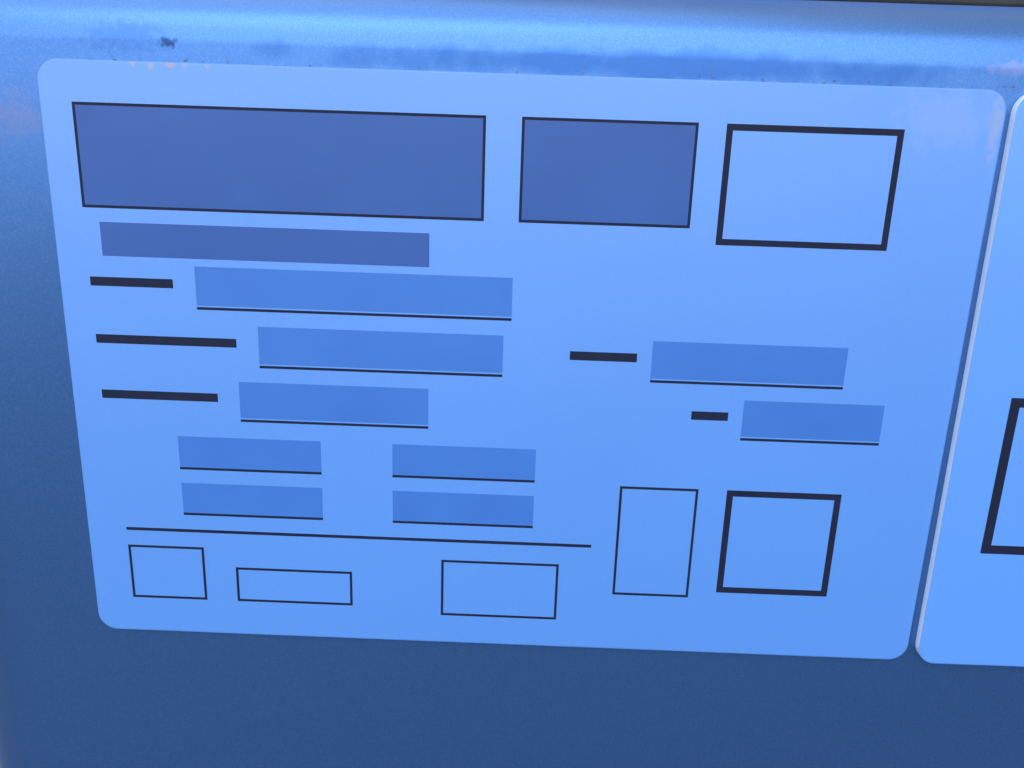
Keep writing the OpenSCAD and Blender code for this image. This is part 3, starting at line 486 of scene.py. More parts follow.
@dataclass(frozen=True)
class WoundStrap(Finish):
    """Extruded polyester strap, wound flat: thin glossy turns with a pressed diamond grain."""

    roughness: float = 0.3
    shade: str = "#0f4a30"
    cell: float = 1.6
    turn: float = 16.0
    run: Point = (1.0, 8.0, 8.0)

    def dress(self, skin: Skin) -> None:
        """Adds a shade that changes from turn to turn, and the pressed grain.

        Args:
            skin: The material.
        """
        turns = skin.grain(self.turn, stretch=self.run)
        skin.give({"Base Color": skin.tint(turns, self.colour, self.shade, high=0.65)})
        diamonds = skin.add("ShaderNodeTexVoronoi", {"Vector": skin.place, "Scale": 1 / (self.cell * MM)})
        skin.emboss(diamonds, depth=0.05)


@dataclass(frozen=True)
class Plain(Finish):
    """Ink, enamel, oil, dirt or a floor: one colour that varies a little."""

    roughness: float = 0.7
    cloud: float = 20.0
    shade: str = "#20242c"
    gloss: float = 0.5

    def dress(self, skin: Skin) -> None:
        """Adds the clouds.

        Args:
            skin: The material.
        """
        clouds = skin.tint(skin.grain(self.cloud, detail=3), self.colour, self.shade, low=0.3)
        skin.give({"Base Color": clouds, "Specular IOR Level": self.gloss})


# Blue-grey cabinet paint with aluminium flakes: semi-gloss, with a fine orange peel
CABINET_PAINT = PowderCoat("blue-grey powder coat", "#446ea4", 0.34, shade="#3d6496", coat=0.0, flake=0.78)
# The same paint round the plates: a darker band along the plate's top edge, a dark smudge in a darker patch near its
# left end, and painted warm reflections left of the plate and by its top right corner
MARKED_PAINT_WITH_PAINTED_REFLECTIONS = PowderCoat(
    "marked blue-grey powder coat with painted reflections", "#446ea4", 0.34, shade="#3d6496", dust=0.2, coat=0.0, flake=0.78, marks=(
        Mark(78, -1.6, 46, 1.9, "#2c5793", 0.75, 6), Mark(16.4, -2.3, 1.2, 0.7, "#16284a", 0.85, 0.5),
        # The second mark on the next line and the mark on the line after it are painted warm reflections
        Mark(11, -3, 6, 2, "#2c5793", 0.4, 0.9), Mark(-4, 6.9, 4.2, 3, "#77708c", 0.3, 1.2),
        Mark(121, -2.6, 4, 1, "#8f8aa6", 0.3, 1.4)))
# Dark chassis paint: satin, rougher, dustier
CHASSIS_PAINT = PowderCoat("anthracite chassis paint", "#33383f", 0.42, shade="#26292f", peel=2.4, dust=0.5, coat=0.1)
# Light box paint: clean and even
BOX_PAINT = PowderCoat("light grey powder coat", "#c9ced4", 0.34, shade="#bcc2c9", dust=0.25)
# Motor enamel: thick, glossy, with runs between the fins
MOTOR_ENAMEL = PowderCoat("grey motor enamel", "#5a6066", 0.28, shade="#484e55", peel=3.0, peel_depth=0.03, coat=0.4)
# Tank paint: black, satin
TANK_PAINT = PowderCoat("black tank paint", "#23262b", 0.38, shade="#1b1d21", peel=2.2, coat=0.2)
# Bare chamber sheet, rubbed up and down by what is pressed
LINER_STEEL = RolledSteel("rolled steel sheet", "#9599a0")
# Bright zinc on fittings and pipes: silvery with a warm bloom
FITTING_ZINC = ZincPlate("bright zinc plate", "#c9c6ba")
# Hard chrome on the piston rod: a mirror with fine rings
ROD_CHROME = GroundMetal("hard chrome", "#d5d8dc")
# Nickel rings round the buttons: bright, turned
BEZEL_NICKEL = GroundMetal("bright nickel", "#cfd0d2", 0.18, (1.0, 20.0, 1.0))
# Milled valve block: dull with wide tool marks
BLOCK_ALLOY = GroundMetal("milled aluminium", "#b9bcc0", 0.34, (25.0, 1.0, 25.0), 1.4, 0.01)
# Glass-filled nylon on covers, glands and knobs: black, matt
BLACK_NYLON = Moulding("glass-filled nylon", "#1c1d20", 0.5)
# ABS on the switch and the buttons: strong colours, glossy
RED_ABS = Moulding("red ABS", "#b3231c", 0.28, 0.8, 0.006, "#d0564c", 0.3)
GREEN_ABS = Moulding("green ABS", "#1f8a45", 0.28, 0.8, 0.006, "#54a873", 0.3)
# Cable sheath and seals: dead matt
RUBBER = Moulding("EPDM rubber", "#141516", 0.75, 0.7, 0.03, "#3a3b3c")
# Lamp caps: milky, lit from the side by the room
LAMP_LENS = Lens("milky polycarbonate", "#ece6cf")
# The type plate, with a row of rust spots at its top edge, a paler patch near its top right corner and a painted warm
# reflection at its right edge
PLATE_FILM = LabelFilm("printed polyester film", "#4a89d3", shade="#4583cb", marks=(
    Mark(12.1, 0.3, 0.45, 0.35, "#a58f86", 0.6, 0.4), Mark(14.3, 0.4, 0.4, 0.5, "#a58f86", 0.6, 0.4),
    Mark(16.8, 0.3, 0.6, 0.4, "#ad8a76", 0.7, 0.4), Mark(18.6, 0.3, 0.4, 0.3, "#a58f86", 0.6, 0.4),
    Mark(21.4, 0.3, 0.4, 0.3, "#a58f86", 0.5, 0.4), Mark(113, 3.5, 6, 4, "#8fa0bd", 0.22, 2),
    # The next mark is a painted warm reflection at the plate's right edge
    Mark(119, 4, 0.8, 5, "#a39c98", 0.35, 1)))
# The second plate: newer, cleaner and a little glossier
SECOND_FILM = LabelFilm("laminated polyester film", "#5293e2", 0.42, shade="#4c8dda", specks=0.2)
# The disc behind the stop button: even and satin
YELLOW_FILM = Plain("yellow vinyl", "#e0b51e", 0.4, 18, "#d6a915")
# Printed lines and figures: nearly black and flat
INK = Plain("screen ink", "#181c30", 0.6, 12, "#1e2339", 0.15)
# Printed fields: flat tones darker than the film
HEAD_TINT = Plain("dark screen tint", "#2c5596", 0.5, 12, "#284f8e")
FIELD_TINT = Plain("screen tint", "#3c73bd", 0.5, 12, "#376db6")
# The gauge's face: clean white enamel
DIAL_WHITE = Plain("dial enamel", "#eef0ee", 0.5, 30, "#e4e6e4")
# Strap on the reels: glossy turns that differ a little
STRAP = WoundStrap("green polyester strap", "#16633f")
# Crumbs on the panel's ledge: rust brown to nearly black
DIRT = Plain("dry dirt", "#9a6b45", 0.9, 2, "#4d3f33")
# Oil behind the sight glass: amber and wet
OIL = Plain("hydraulic oil", "#b07a1c", 0.15, 8, "#c08a2a")
# The floor: dark enough to leave the panel's lower half in shade
FLOOR = Plain("concrete floor", "#5a5e63", 0.7, 900, "#54585d")

NODE_FINISH = {
    "body_paint": CABINET_PAINT, "frame_paint": CHASSIS_PAINT, "liner_steel": LINER_STEEL,
    "zinc_steel": FITTING_ZINC, "rod_chrome": ROD_CHROME, "bezel_chrome": BEZEL_NICKEL, "valve_alloy": BLOCK_ALLOY,
    "motor_paint": MOTOR_ENAMEL, "tank_paint": TANK_PAINT, "black_plastic": BLACK_NYLON, "switch_red": RED_ABS,
    "button_green": GREEN_ABS, "lamp_lens": LAMP_LENS, "panel_grey": BOX_PAINT, "plate_film": PLATE_FILM,
    "strap_green": STRAP,
}
NODE_EXTRA = {"second_plate": SECOND_FILM, "motor_cable": RUBBER, "right_side_panel": MARKED_PAINT_WITH_PAINTED_REFLECTIONS}


# Making meshes


def finished(name: str, mesh: bpy.types.Mesh, body: str, finish: Finish, slot: str) -> None:
    """Puts a finished mesh in the scene as a piece that rides on a body.

    Args:
        name: The piece's name.
        mesh: Its mesh, in the row's frame.
        body: The CAD body it rides on.
        finish: Its finish.
        slot: The record's slot; it is not used.
    """
    mesh.name = name
    mesh.shade_smooth()
    mesh.set_sharp_from_angle(angle=SMOOTH_BELOW)
    mesh.materials.clear()
    mesh.materials.append(finish.material())
    piece = bpy.data.objects.new(name, mesh)
    bpy.context.scene.collection.objects.link(piece)
    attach(piece, body)
    LOG.info("%s: %d faces on %s, %s", name, len(mesh.polygons), body, finish.name)


class Shaper:
    """Gathers simple closed shapes into one mesh."""

    def __init__(self) -> None:
        """Starts with an empty mesh."""
        self.mesh = bmesh.new()

    def spun(self, profile: Sequence[Pair], centre: Point, axis: Axis, sides: int = 32) -> None:
        """Turns a profile round an axis.

        Args:
            profile: Radius and height of each point in mm, from the axis back to the axis.
            centre: Where the height is 0.
            axis: The direction in which the height grows.
            sides: Faces round the axis.
        """
        turn = Vector(axis.value).to_track_quat("Z", "Y")
        rows = []
        for radius, height in profile:
            angles = [2 * math.pi * k / sides for k in range(sides)] if radius else [0.0]
            points = [Vector((radius * math.cos(a), radius * math.sin(a), height)) * MM for a in angles]
            rows.append([self.mesh.verts.new(Vector(centre) + turn @ point) for point in points])
        for low, high in zip(rows, rows[1:]):
            for k in range(sides):
                ring = [low[k % len(low)], low[(k + 1) % len(low)], high[(k + 1) % len(high)], high[k % len(high)]]
                self.mesh.faces.new(list(dict.fromkeys(ring)))

    def slab(self, corner: Point, across: Point, down: Point, out: Point) -> None:
        """A flat block with four straight sides, from a corner and three edges.

        Args:
            corner: One corner.
            across: The edge to the next corner.
            down: The other edge of the face.
            out: The thickness.
        """
        c, u, v, w = (Vector(p) for p in (corner, across, down, out))
        low = [self.mesh.verts.new(p) for p in (c, c + u, c + u + v, c + v)]
        high = [self.mesh.verts.new(p) for p in (c + w, c + w + u, c + w + u + v, c + w + v)]
        self.mesh.faces.new(low[::-1])
        self.mesh.faces.new(high)
        for k in range(4):
            self.mesh.faces.new([low[k], low[(k + 1) % 4], high[(k + 1) % 4], high[k]])

    def figure(self, text: str, centre: Point, tall: float, thick: float = 0.2 * MM) -> None:
        """A number that reads from the front.

        Args:
            text: Its digits.
            centre: The middle of its back.
            tall: The height of a digit.
            thick: How far it stands out.
        """
        curve = bpy.data.curves.new("figure", "FONT")
        curve.body, curve.size, curve.extrude = text, tall * FONT_SCALE, thick / 2
        curve.align_x, curve.align_y, curve.resolution_u = "CENTER", "CENTER", 3
        holder = bpy.data.objects.new("figure", curve)
        bpy.context.scene.collection.objects.link(holder)
        graph = bpy.context.evaluated_depsgraph_get()
        flat = bpy.data.meshes.new_from_object(holder.evaluated_get(graph), depsgraph=graph)
        turn = Matrix(((1, 0, 0), (0, 0, -1), (0, 1, 0))).to_4x4()
        flat.transform(Matrix.Translation(Vector(centre) + Vector((0, -thick / 2, 0))) @ turn)
        self.mesh.from_mesh(flat)
        bmesh.ops.remove_doubles(self.mesh, verts=self.mesh.verts, dist=1e-6)
        bpy.data.objects.remove(holder)
        bpy.data.curves.remove(curve)
        bpy.data.meshes.remove(flat)

    def done(self, name: str, body: str, finish: Finish, slot: str) -> None:
        """Closes the mesh and makes it a piece.

        Args:
            name: The piece's name.
            body: The CAD body it rides on.
            finish: Its finish.
            slot: The record's slot.
        """
        bmesh.ops.recalc_face_normals(self.mesh, faces=self.mesh.faces)
        made = bpy.data.meshes.new(name)
        self.mesh.to_mesh(made)
        self.mesh.free()
        finished(name, made, body, finish, slot)


def spots(points: Iterable[Point], facing: Axis) -> bpy.types.Mesh:
    """A mesh of loose points that a recipe puts a copy on.

    Args:
        points: The points.
        facing: The way the copies look.

    Returns:
        The mesh, with the direction as its facing attribute.
    """
    places = list(points)
    mesh = bpy.data.meshes.new("spots")
    mesh.from_pydata(places, [], [])
    mesh.attributes.new("facing", "FLOAT_VECTOR", "POINT").data.foreach_set("vector", list(facing.value) * len(places))
    return mesh


def trail(*runs: Sequence[Point], closed: bool = False) -> bpy.types.Mesh:
    """A mesh of lines that a recipe follows.

    Args:
        *runs: The points of each line.
        closed: Whether each line returns to its start.

    Returns:
        The mesh.
    """
    points, edges = [], []
    for run in runs:
        first = len(points)
        points += run
        edges += [(first + k, first + k + 1) for k in range(len(run) - 1)]
        if closed:
            edges.append((len(points) - 1, first))
    mesh = bpy.data.meshes.new("trail")
    mesh.from_pydata(points, edges, [])
    return mesh


def steps(start: float, stop: float, count: int) -> list[float]:
    """Evenly spaced values, both ends included."""
    return [start + (stop - start) * k / (count - 1) for k in range(count)]


class Recipe:
    """A geometry node tree, built in code, that turns a carrier mesh into a finished one."""

    def __init__(self, name: str, **inputs: type) -> None:
        """Makes the tree's sockets.

        Args:
            name: What the tree makes.
            **inputs: Its sizes, each a float or an int.
        """
        self.tree = bpy.data.node_groups.new(name, "GeometryNodeTree")
        face = self.tree.interface
        face.new_socket("Geometry", in_out="INPUT", socket_type="NodeSocketGeometry")
        face.new_socket("finish", in_out="INPUT", socket_type="NodeSocketMaterial")
        for key, kind in inputs.items():
            face.new_socket(key, in_out="INPUT", socket_type="NodeSocketInt" if kind is int else "NodeSocketFloat")
        face.new_socket("Geometry", in_out="OUTPUT", socket_type="NodeSocketGeometry")
        self.given = self.add("NodeGroupInput").outputs
        self.carrier = self.given["Geometry"]

    def add(self, kind: str, inputs: dict | None = None, **settings: object) -> bpy.types.Node:
        """Adds a node to the tree, as add() does."""
        return add(self.tree, kind, inputs, **settings)

    def facing(self) -> bpy.types.Node:
        """The turn that makes a copy look along the carrier's facing attribute."""
        way = self.add("GeometryNodeInputNamedAttribute", {"Name": "facing"}, data_type="FLOAT_VECTOR")
        return self.add("FunctionNodeAlignRotationToVector", {"Vector": way}, axis="Z")

    def stand(self, shape: bpy.types.Node) -> "Recipe":
        """Closes the tree with a copy of a shape on each point of the carrier.

        Args:
            shape: The node that makes the shape.

        Returns:
            The recipe.
        """
        return self.end(self.add("GeometryNodeInstanceOnPoints", {"Points": self.carrier, "Instance": shape,
                                                                  "Rotation": self.facing()}))

    def end(self, geometry: bpy.types.Node) -> "Recipe":
        """Closes the tree with Realize Instances and Set Material.

        Args:
            geometry: The node that makes the shape.

        Returns:
            The recipe.
        """
        real = self.add("GeometryNodeRealizeInstances", {"Geometry": geometry})
        dressed = self.add("GeometryNodeSetMaterial", {"Geometry": real, "Material": self.given["finish"]})
        self.add("NodeGroupOutput", {"Geometry": dressed})
        return self

    def grow(self, name: str, carrier: bpy.types.Mesh, body: str, finish: Finish, slot: str, **sizes: float) -> None:
        """Runs the recipe on a carrier mesh and makes the result a piece.

        Args:
            name: The piece's name.
            carrier: The points or lines it starts from.
            body: The CAD body the piece rides on.
            finish: Its finish.
            slot: The record's slot.
            **sizes: The tree's inputs.
        """
        holder = bpy.data.objects.new(f"{name}_carrier", carrier)
        bpy.context.scene.collection.objects.link(holder)
        modifier = holder.modifiers.new("recipe", "NODES")
        modifier.node_group = self.tree
        values = {"finish": finish.material(), **sizes}
        for socket in self.tree.interface.items_tree:
            if socket.in_out == "INPUT" and socket.name in values:
                modifier[socket.identifier] = values[socket.name]
        graph = bpy.context.evaluated_depsgraph_get()
        mesh = bpy.data.meshes.new_from_object(holder.evaluated_get(graph), depsgraph=graph)
        bpy.data.objects.remove(holder)
        bpy.data.meshes.remove(carrier)
        finished(name, mesh, body, finish, slot)


def screw_recipe() -> Recipe:
    """Button-head screws with a hexagon socket, each turned its own way.

    Returns:
        The recipe.
    """
    r = Recipe("socket screws", radius=float, height=float, seed=int)
    top, across = (r.add("ShaderNodeMath", {0: r.given["radius"], 1: share}, operation="MULTIPLY")
                   for share in (0.68, 0.42))
    dome = r.add("GeometryNodeMeshCone", {"Vertices": 20, "Radius Top": top, "Radius Bottom": r.given["radius"],
                                          "Depth": r.given["height"]})
    well = r.add("GeometryNodeMeshCylinder", {"Vertices": 6, "Radius": across, "Depth": r.given["height"]})
    well = r.add("GeometryNodeTransform", {"Geometry": well,
                                           "Translation": r.add("ShaderNodeCombineXYZ", {2: r.given["height"]})})
    head = r.add("GeometryNodeMeshBoolean", {0: dome, 1: well}, operation="DIFFERENCE")
    copies = r.add("GeometryNodeInstanceOnPoints", {"Points": r.carrier, "Instance": head, "Rotation": r.facing()})
    turn = r.add("FunctionNodeRandomValue", {2: 0.0, 3: 1.05, "Seed": r.given["seed"]}, data_type="FLOAT")
    angles = r.add("ShaderNodeCombineXYZ", {2: turn.outputs[1]})
    return r.end(r.add("GeometryNodeRotateInstances", {
        "Instances": copies, "Rotation": r.add("FunctionNodeEulerToRotation", {0: angles})}))


def weld_recipe() -> Recipe:
    """A weld bead: overlapping ripples along a line.

    Returns:
        The recipe.
    """
    r = Recipe("weld bead", width=float, pitch=float, seed=int)
    line = r.add("GeometryNodeMeshToCurve", {"Mesh": r.carrier})
    line = r.add("GeometryNodeResampleCurve", {"Curve": line, "Length": r.given["pitch"]}, mode="LENGTH")
    half = r.add("ShaderNodeMath", {0: r.given["width"], 1: 0.5}, operation="MULTIPLY")
    ripple = r.add("GeometryNodeMeshUVSphere", {"Segments": 8, "Rings": 5, "Radius": half})
    way = r.add("FunctionNodeAlignRotationToVector", {"Vector": r.add("GeometryNodeInputTangent")}, axis="X")
    size = r.add("FunctionNodeRandomValue", {0: (0.8, 0.85, 0.7), 1: (1.0, 1.05, 0.95), "Seed": r.given["seed"]},
                 data_type="FLOAT_VECTOR")
    return r.end(r.add("GeometryNodeInstanceOnPoints", {"Points": line, "Instance": ripple, "Rotation": way,
                                                        "Scale": size}))


def seal_recipe() -> Recipe:
    """A round seal along a line, with filleted corners.

    Returns:
        The recipe.
    """
    r = Recipe("seal along a line", radius=float, fillet=float)
    line = r.add("GeometryNodeMeshToCurve", {"Mesh": r.carrier})
    line = r.add("GeometryNodeFilletCurve", {"Curve": line, "Radius": r.given["fillet"], "Count": 6}, mode="POLY")
    ring = r.add("GeometryNodeCurvePrimitiveCircle", {"Resolution": 10, "Radius": r.given["radius"]})
    return r.end(r.add("GeometryNodeCurveToMesh", {"Curve": line, "Profile Curve": ring, "Fill Caps": True}))


def rib_recipe() -> Recipe:
    """Round ribs that stand off a bar at even steps.

    Returns:
        The recipe.
    """
    r = Recipe("ribs along a bar", radius=float, rib=float, pitch=float)
    line = r.add("GeometryNodeMeshToCurve", {"Mesh": r.carrier})
    line = r.add("GeometryNodeResampleCurve", {"Curve": line, "Length": r.given["pitch"]}, mode="LENGTH")
    hoop = r.add("GeometryNodeCurvePrimitiveCircle", {"Resolution": 24, "Radius": r.given["radius"]})
    rib = r.add("GeometryNodeCurvePrimitiveCircle", {"Resolution": 8, "Radius": r.given["rib"]})
    solid = r.add("GeometryNodeCurveToMesh", {"Curve": hoop, "Profile Curve": rib})
    way = r.add("FunctionNodeAlignRotationToVector", {"Vector": r.add("GeometryNodeInputTangent")}, axis="Z")
    return r.end(r.add("GeometryNodeInstanceOnPoints", {"Points": line, "Instance": solid, "Rotation": way}))


def tick_recipe() -> Recipe:
    """The ticks of a dial, spread over an arc.

    Returns:
        The recipe.
    """
    r = Recipe("dial ticks", radius=float, length=float, width=float, start=float, sweep=float, count=int)
    arc = r.add("GeometryNodeCurveArc", {"Resolution": 64, "Radius": r.given["radius"],
                                         "Start Angle": r.given["start"], "Sweep Angle": r.given["sweep"]})
    marks = r.add("GeometryNodeCurveToPoints", {"Curve": arc, "Count": r.given["count"]}, mode="COUNT")
    size = r.add("ShaderNodeCombineXYZ", {0: r.given["width"], 1: r.given["length"], 2: 0.2 * MM})
    bar = r.add("GeometryNodeMeshCube", {"Size": size})
    way = r.add("FunctionNodeAlignRotationToVector", {"Vector": marks.outputs["Tangent"]}, axis="X")
    ring = r.add("GeometryNodeInstanceOnPoints", {"Points": marks, "Instance": bar, "Rotation": way})
    return r.stand(ring)


def winding_recipe() -> Recipe:
    """Flat strap wound on a reel in a spiral.

    Returns:
        The recipe.
    """
    r = Recipe("wound strap", inner=float, outer=float, width=float, thickness=float, turns=float)
    coil = r.add("GeometryNodeCurveSpiral", {"Resolution": 48, "Rotations": r.given["turns"],
                                             "Start Radius": r.given["inner"], "End Radius": r.given["outer"],
                                             "Height": 0.0})
    flat = r.add("GeometryNodeCurvePrimitiveQuadrilateral", {"Width": r.given["thickness"],
                                                             "Height": r.given["width"]}, mode="RECTANGLE")
    coil = r.add("GeometryNodeSetCurveNormal", {"Curve": coil}, mode="Z_UP")
    return r.stand(r.add("GeometryNodeCurveToMesh", {"Curve": coil, "Profile Curve": flat, "Fill Caps": True}))


def spot_weld_recipe() -> Recipe:
    """The shallow round marks that spot welds leave.

    Returns:
        The recipe.
    """
    r = Recipe("spot welds", radius=float, height=float)
    top = r.add("ShaderNodeMath", {0: r.given["radius"], 1: 0.7}, operation="MULTIPLY")
    return r.stand(r.add("GeometryNodeMeshCone", {"Vertices": 16, "Radius Top": top,
                                                  "Radius Bottom": r.given["radius"], "Depth": r.given["height"]}))


def grit_recipe() -> Recipe:
    """Crumbs of dry dirt scattered on a ledge.

    Returns:
        The recipe.
    """
    r = Recipe("crumbs of dirt", density=float, size=float, seed=int)
    scatter = r.add("GeometryNodeDistributePointsOnFaces", {"Mesh": r.carrier, "Density": r.given["density"],
                                                            "Seed": r.given["seed"]})
    crumb = r.add("GeometryNodeMeshIcoSphere", {"Subdivisions": 1, "Radius": r.given["size"]})
    size = r.add("FunctionNodeRandomValue", {0: (0.3, 0.3, 0.25), 1: (1.0, 1.2, 0.7), "Seed": r.given["seed"]},
                 data_type="FLOAT_VECTOR")
    return r.end(r.add("GeometryNodeInstanceOnPoints", {"Points": scatter, "Instance": crumb, "Scale": size,
                                                        "Rotation": scatter.outputs["Rotation"]}))


@dataclass
class Recipes:
    """The trees that the sub-assemblies share."""

    screws: Recipe = field(default_factory=screw_recipe)
    welds: Recipe = field(default_factory=weld_recipe)
    seals: Recipe = field(default_factory=seal_recipe)
    ribs: Recipe = field(default_factory=rib_recipe)
    ticks: Recipe = field(default_factory=tick_recipe)
    winding: Recipe = field(default_factory=winding_recipe)
    spots: Recipe = field(default_factory=spot_weld_recipe)
    grit: Recipe = field(default_factory=grit_recipe)


def finish_nodes() -> None:
    """Gives each CAD node the finish of its slot."""
    slots = {part["node"]: part["material_slot"] for part in frame["record"]["subparts"]}
    for name, node in frame["nodes"].items():
        finish = NODE_EXTRA.get(name, NODE_FINISH[slots[name]])
        node.data.materials.clear()
        node.data.materials.append(finish.material())
        LOG.info("%s: %s", name, finish.name)


# Sub-assemblies


@dataclass
class SubAssembly:
    """Small pieces that are made together on one part of the machine, with the shared recipes."""

    recipes: Recipes

    def screws(self, name: str, heads: Iterable[Point], facing: Axis, size: Pair, seed: int,
               nickel: bool = False) -> None:
        """Sets screws in the frame.

        Args:
            name: The set's name.
            heads: The middle of each head.
            facing: The way the heads look.
            size: The head's radius and its height.
            seed: Turns the sockets.
            nickel: Whether they are nickel-plated, as beside the controls, and not zinc-plated.
        """
        finish, slot = (BEZEL_NICKEL, "bezel_chrome") if nickel else (FITTING_ZINC, "zinc_steel")
        self.recipes.screws.grow(name, spots(heads, facing), "frame", finish, slot, radius=size[0], height=size[1],
                                 seed=seed)

    def seal(self, name: str, corners: Sequence[Point], body: str, radius: float, fillet: float) -> None:
        """Lays a closed rubber seal.

        Args:
            name: Its name.
            corners: The corners of its loop.
            body: The body it is glued to.
            radius: Its radius.
            fillet: The radius of its bends.
        """
        self.recipes.seals.grow(name, trail(corners, closed=True), body, RUBBER, "black_plastic", radius=radius,
                                fillet=fillet)

    @staticmethod
    def turned(name: str, profile: Sequence[Pair], centre: Point, finish: Finish, slot: str, sides: int) -> None:
        """Makes one round piece that looks to the front.

        Args:
            name: Its name.
            profile: Radius and height of each point in mm.
            centre: Where the height is 0.
            finish: Its finish.
            slot: The record's slot.
            sides: Faces round its axis.
        """
        shaper = Shaper()
        shaper.spun(profile, centre, Axis.FRONT, sides)
        shaper.done(name, "frame", finish, slot)


@dataclass
class Plates(SubAssembly):
    """The two plates on the right side panel, with their blank ruled forms and the dirt round them.

    Each rectangle is its left, top, width and height in mm from the plate's top left corner, and a frame adds its
    lines' width where they aren't thin. Each row is its left, its top, the label's width, the gap and the field's
    width. The ledge of dirt is how far it goes past the plate's left and right edge, its height, and its distance
    from the plate's back.
    """

    layer: float = 0.02 * MM
    sunk: float = 0.01 * MM
    thin: float = 0.35
    heads: tuple[Rect, ...] = ((4.35, 5.35, 51.3, 12.3), (60.85, 5.35, 21.3, 12.3), (6, 19.8, 43, 4.4))
    frames: tuple[tuple[float, ...], ...] = (
        (4, 5, 52, 13), (60.5, 5, 22, 13), (86, 5, 22, 15, 0.8), (5.5, 66, 11, 8.5), (21, 69, 17, 5.5),
        (51, 66.5, 17, 9), (76, 54, 11, 17), (91, 54, 16, 16, 0.9))
    rows: tuple[tuple[float, ...], ...] = (
        (4, 27, 11, 3, 42), (4, 34.8, 19, 3, 33), (4, 42.6, 16, 3, 26), (68, 34.8, 9, 2, 26), (85, 42.6, 5, 2, 19))
    label_tall: float = 1.2
    field_rise: float = 1.8
    field_tall: float = 5.2
    field_gap: float = 0.2
    blanks: tuple[Pair, ...] = ((14, 49), (14, 56), (44, 49), (44, 56))
    blank: Pair = (20, 4.6)
    divider: Rect = (5.5, 63.2, 67, 0.45)
    second_frames: tuple[tuple[float, ...], ...] = ((6, 6, 108, 20), (6.5, 39.5, 23, 23, 1.3))
    second_lines: tuple[Rect, ...] = tuple((38, 42 + 8 * k, 70, 0.35) for k in range(4))
    ledge: Rect = (3 * MM, 20 * MM, 0.5 * MM, 0.2 * MM)
    crumbs: float = 900000.0
    crumb_r: float = 0.11 * MM

    def press(self, plate: str, name: str, finish: Finish, rows: Iterable[Rect], layers: int) -> None:
        """Prints rectangles on a plate.

        Args:
            plate: The plate's node.
            name: The print's name.
            finish: Its ink.
            rows: Left, top, width and height of each.
            layers: How many layers of ink lie there.
        """
        low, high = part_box(plate)
        ink = Shaper()
        for left, top, wide, tall in rows:
            corner = (high.x - self.sunk, low.y + left * MM, high.z - top * MM)
            ink.slab(corner, (0, wide * MM, 0), (0, 0, -tall * MM), (layers * self.layer, 0, 0))
        ink.done(name, "frame", finish, "plate_film")

    def outline(self, left: float, top: float, wide: float, tall: float, line: float = 0.0) -> list[Rect]:
        """The four lines of a frame, which don't overlap at its corners.

        Args:
            left: Its left edge.
            top: Its top edge.
            wide: Its width.
            tall: Its height.
            line: The lines' width, where they aren't thin.

        Returns:
            Left, top, width and height of each line.
        """
        t = line or self.thin
        return [(left, top, wide, t), (left, top + tall - t, wide, t), (left, top + t, t, tall - 2 * t),
                (left + wide - t, top + t, t, tall - 2 * t)]

    def build(self) -> None:
        """Prints the forms and scatters the dirt."""
        fields, lines = [], [line for sizes in self.frames for line in self.outline(*sizes)]
        for left, top, label, gap, wide in self.rows:
            start, high = left + label + gap, top - self.field_rise
            fields.append((start, high, wide, self.field_tall))
            lines += [(left, top, label, self.label_tall),
                      (start, high + self.field_tall + self.field_gap, wide, self.thin)]
        wide, tall = self.blank
        for left, top in self.blanks:
            fields.append((left, top, wide, tall))
            lines.append((left, top + tall, wide, self.thin))
        lines.append(self.divider)
        second = [line for sizes in self.second_frames for line in self.outline(*sizes)] + list(self.second_lines)
        self.press("type_plate", "type_plate_heads", HEAD_TINT, self.heads, 1)
        self.press("type_plate", "type_plate_fields", FIELD_TINT, fields, 1)
        self.press("type_plate", "type_plate_form", INK, lines, 2)
        self.press("second_plate", "second_plate_form", INK, second, 2)
        low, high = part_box("type_plate")
        start, end, tall, out = self.ledge
        x, y0, y1, z0, z1 = low.x + out, low.y + start, high.y + end, high.z, high.z + tall
        strip = bpy.data.meshes.new("ledge")
        strip.from_pydata([(x, y0, z0), (x, y1, z0), (x, y1, z1), (x, y0, z1)], [], [(0, 1, 2, 3)])
        self.recipes.grit.grow("ledge_dirt", strip, "frame", DIRT, "plate_film", density=self.crumbs,
                               size=self.crumb_r, seed=4)


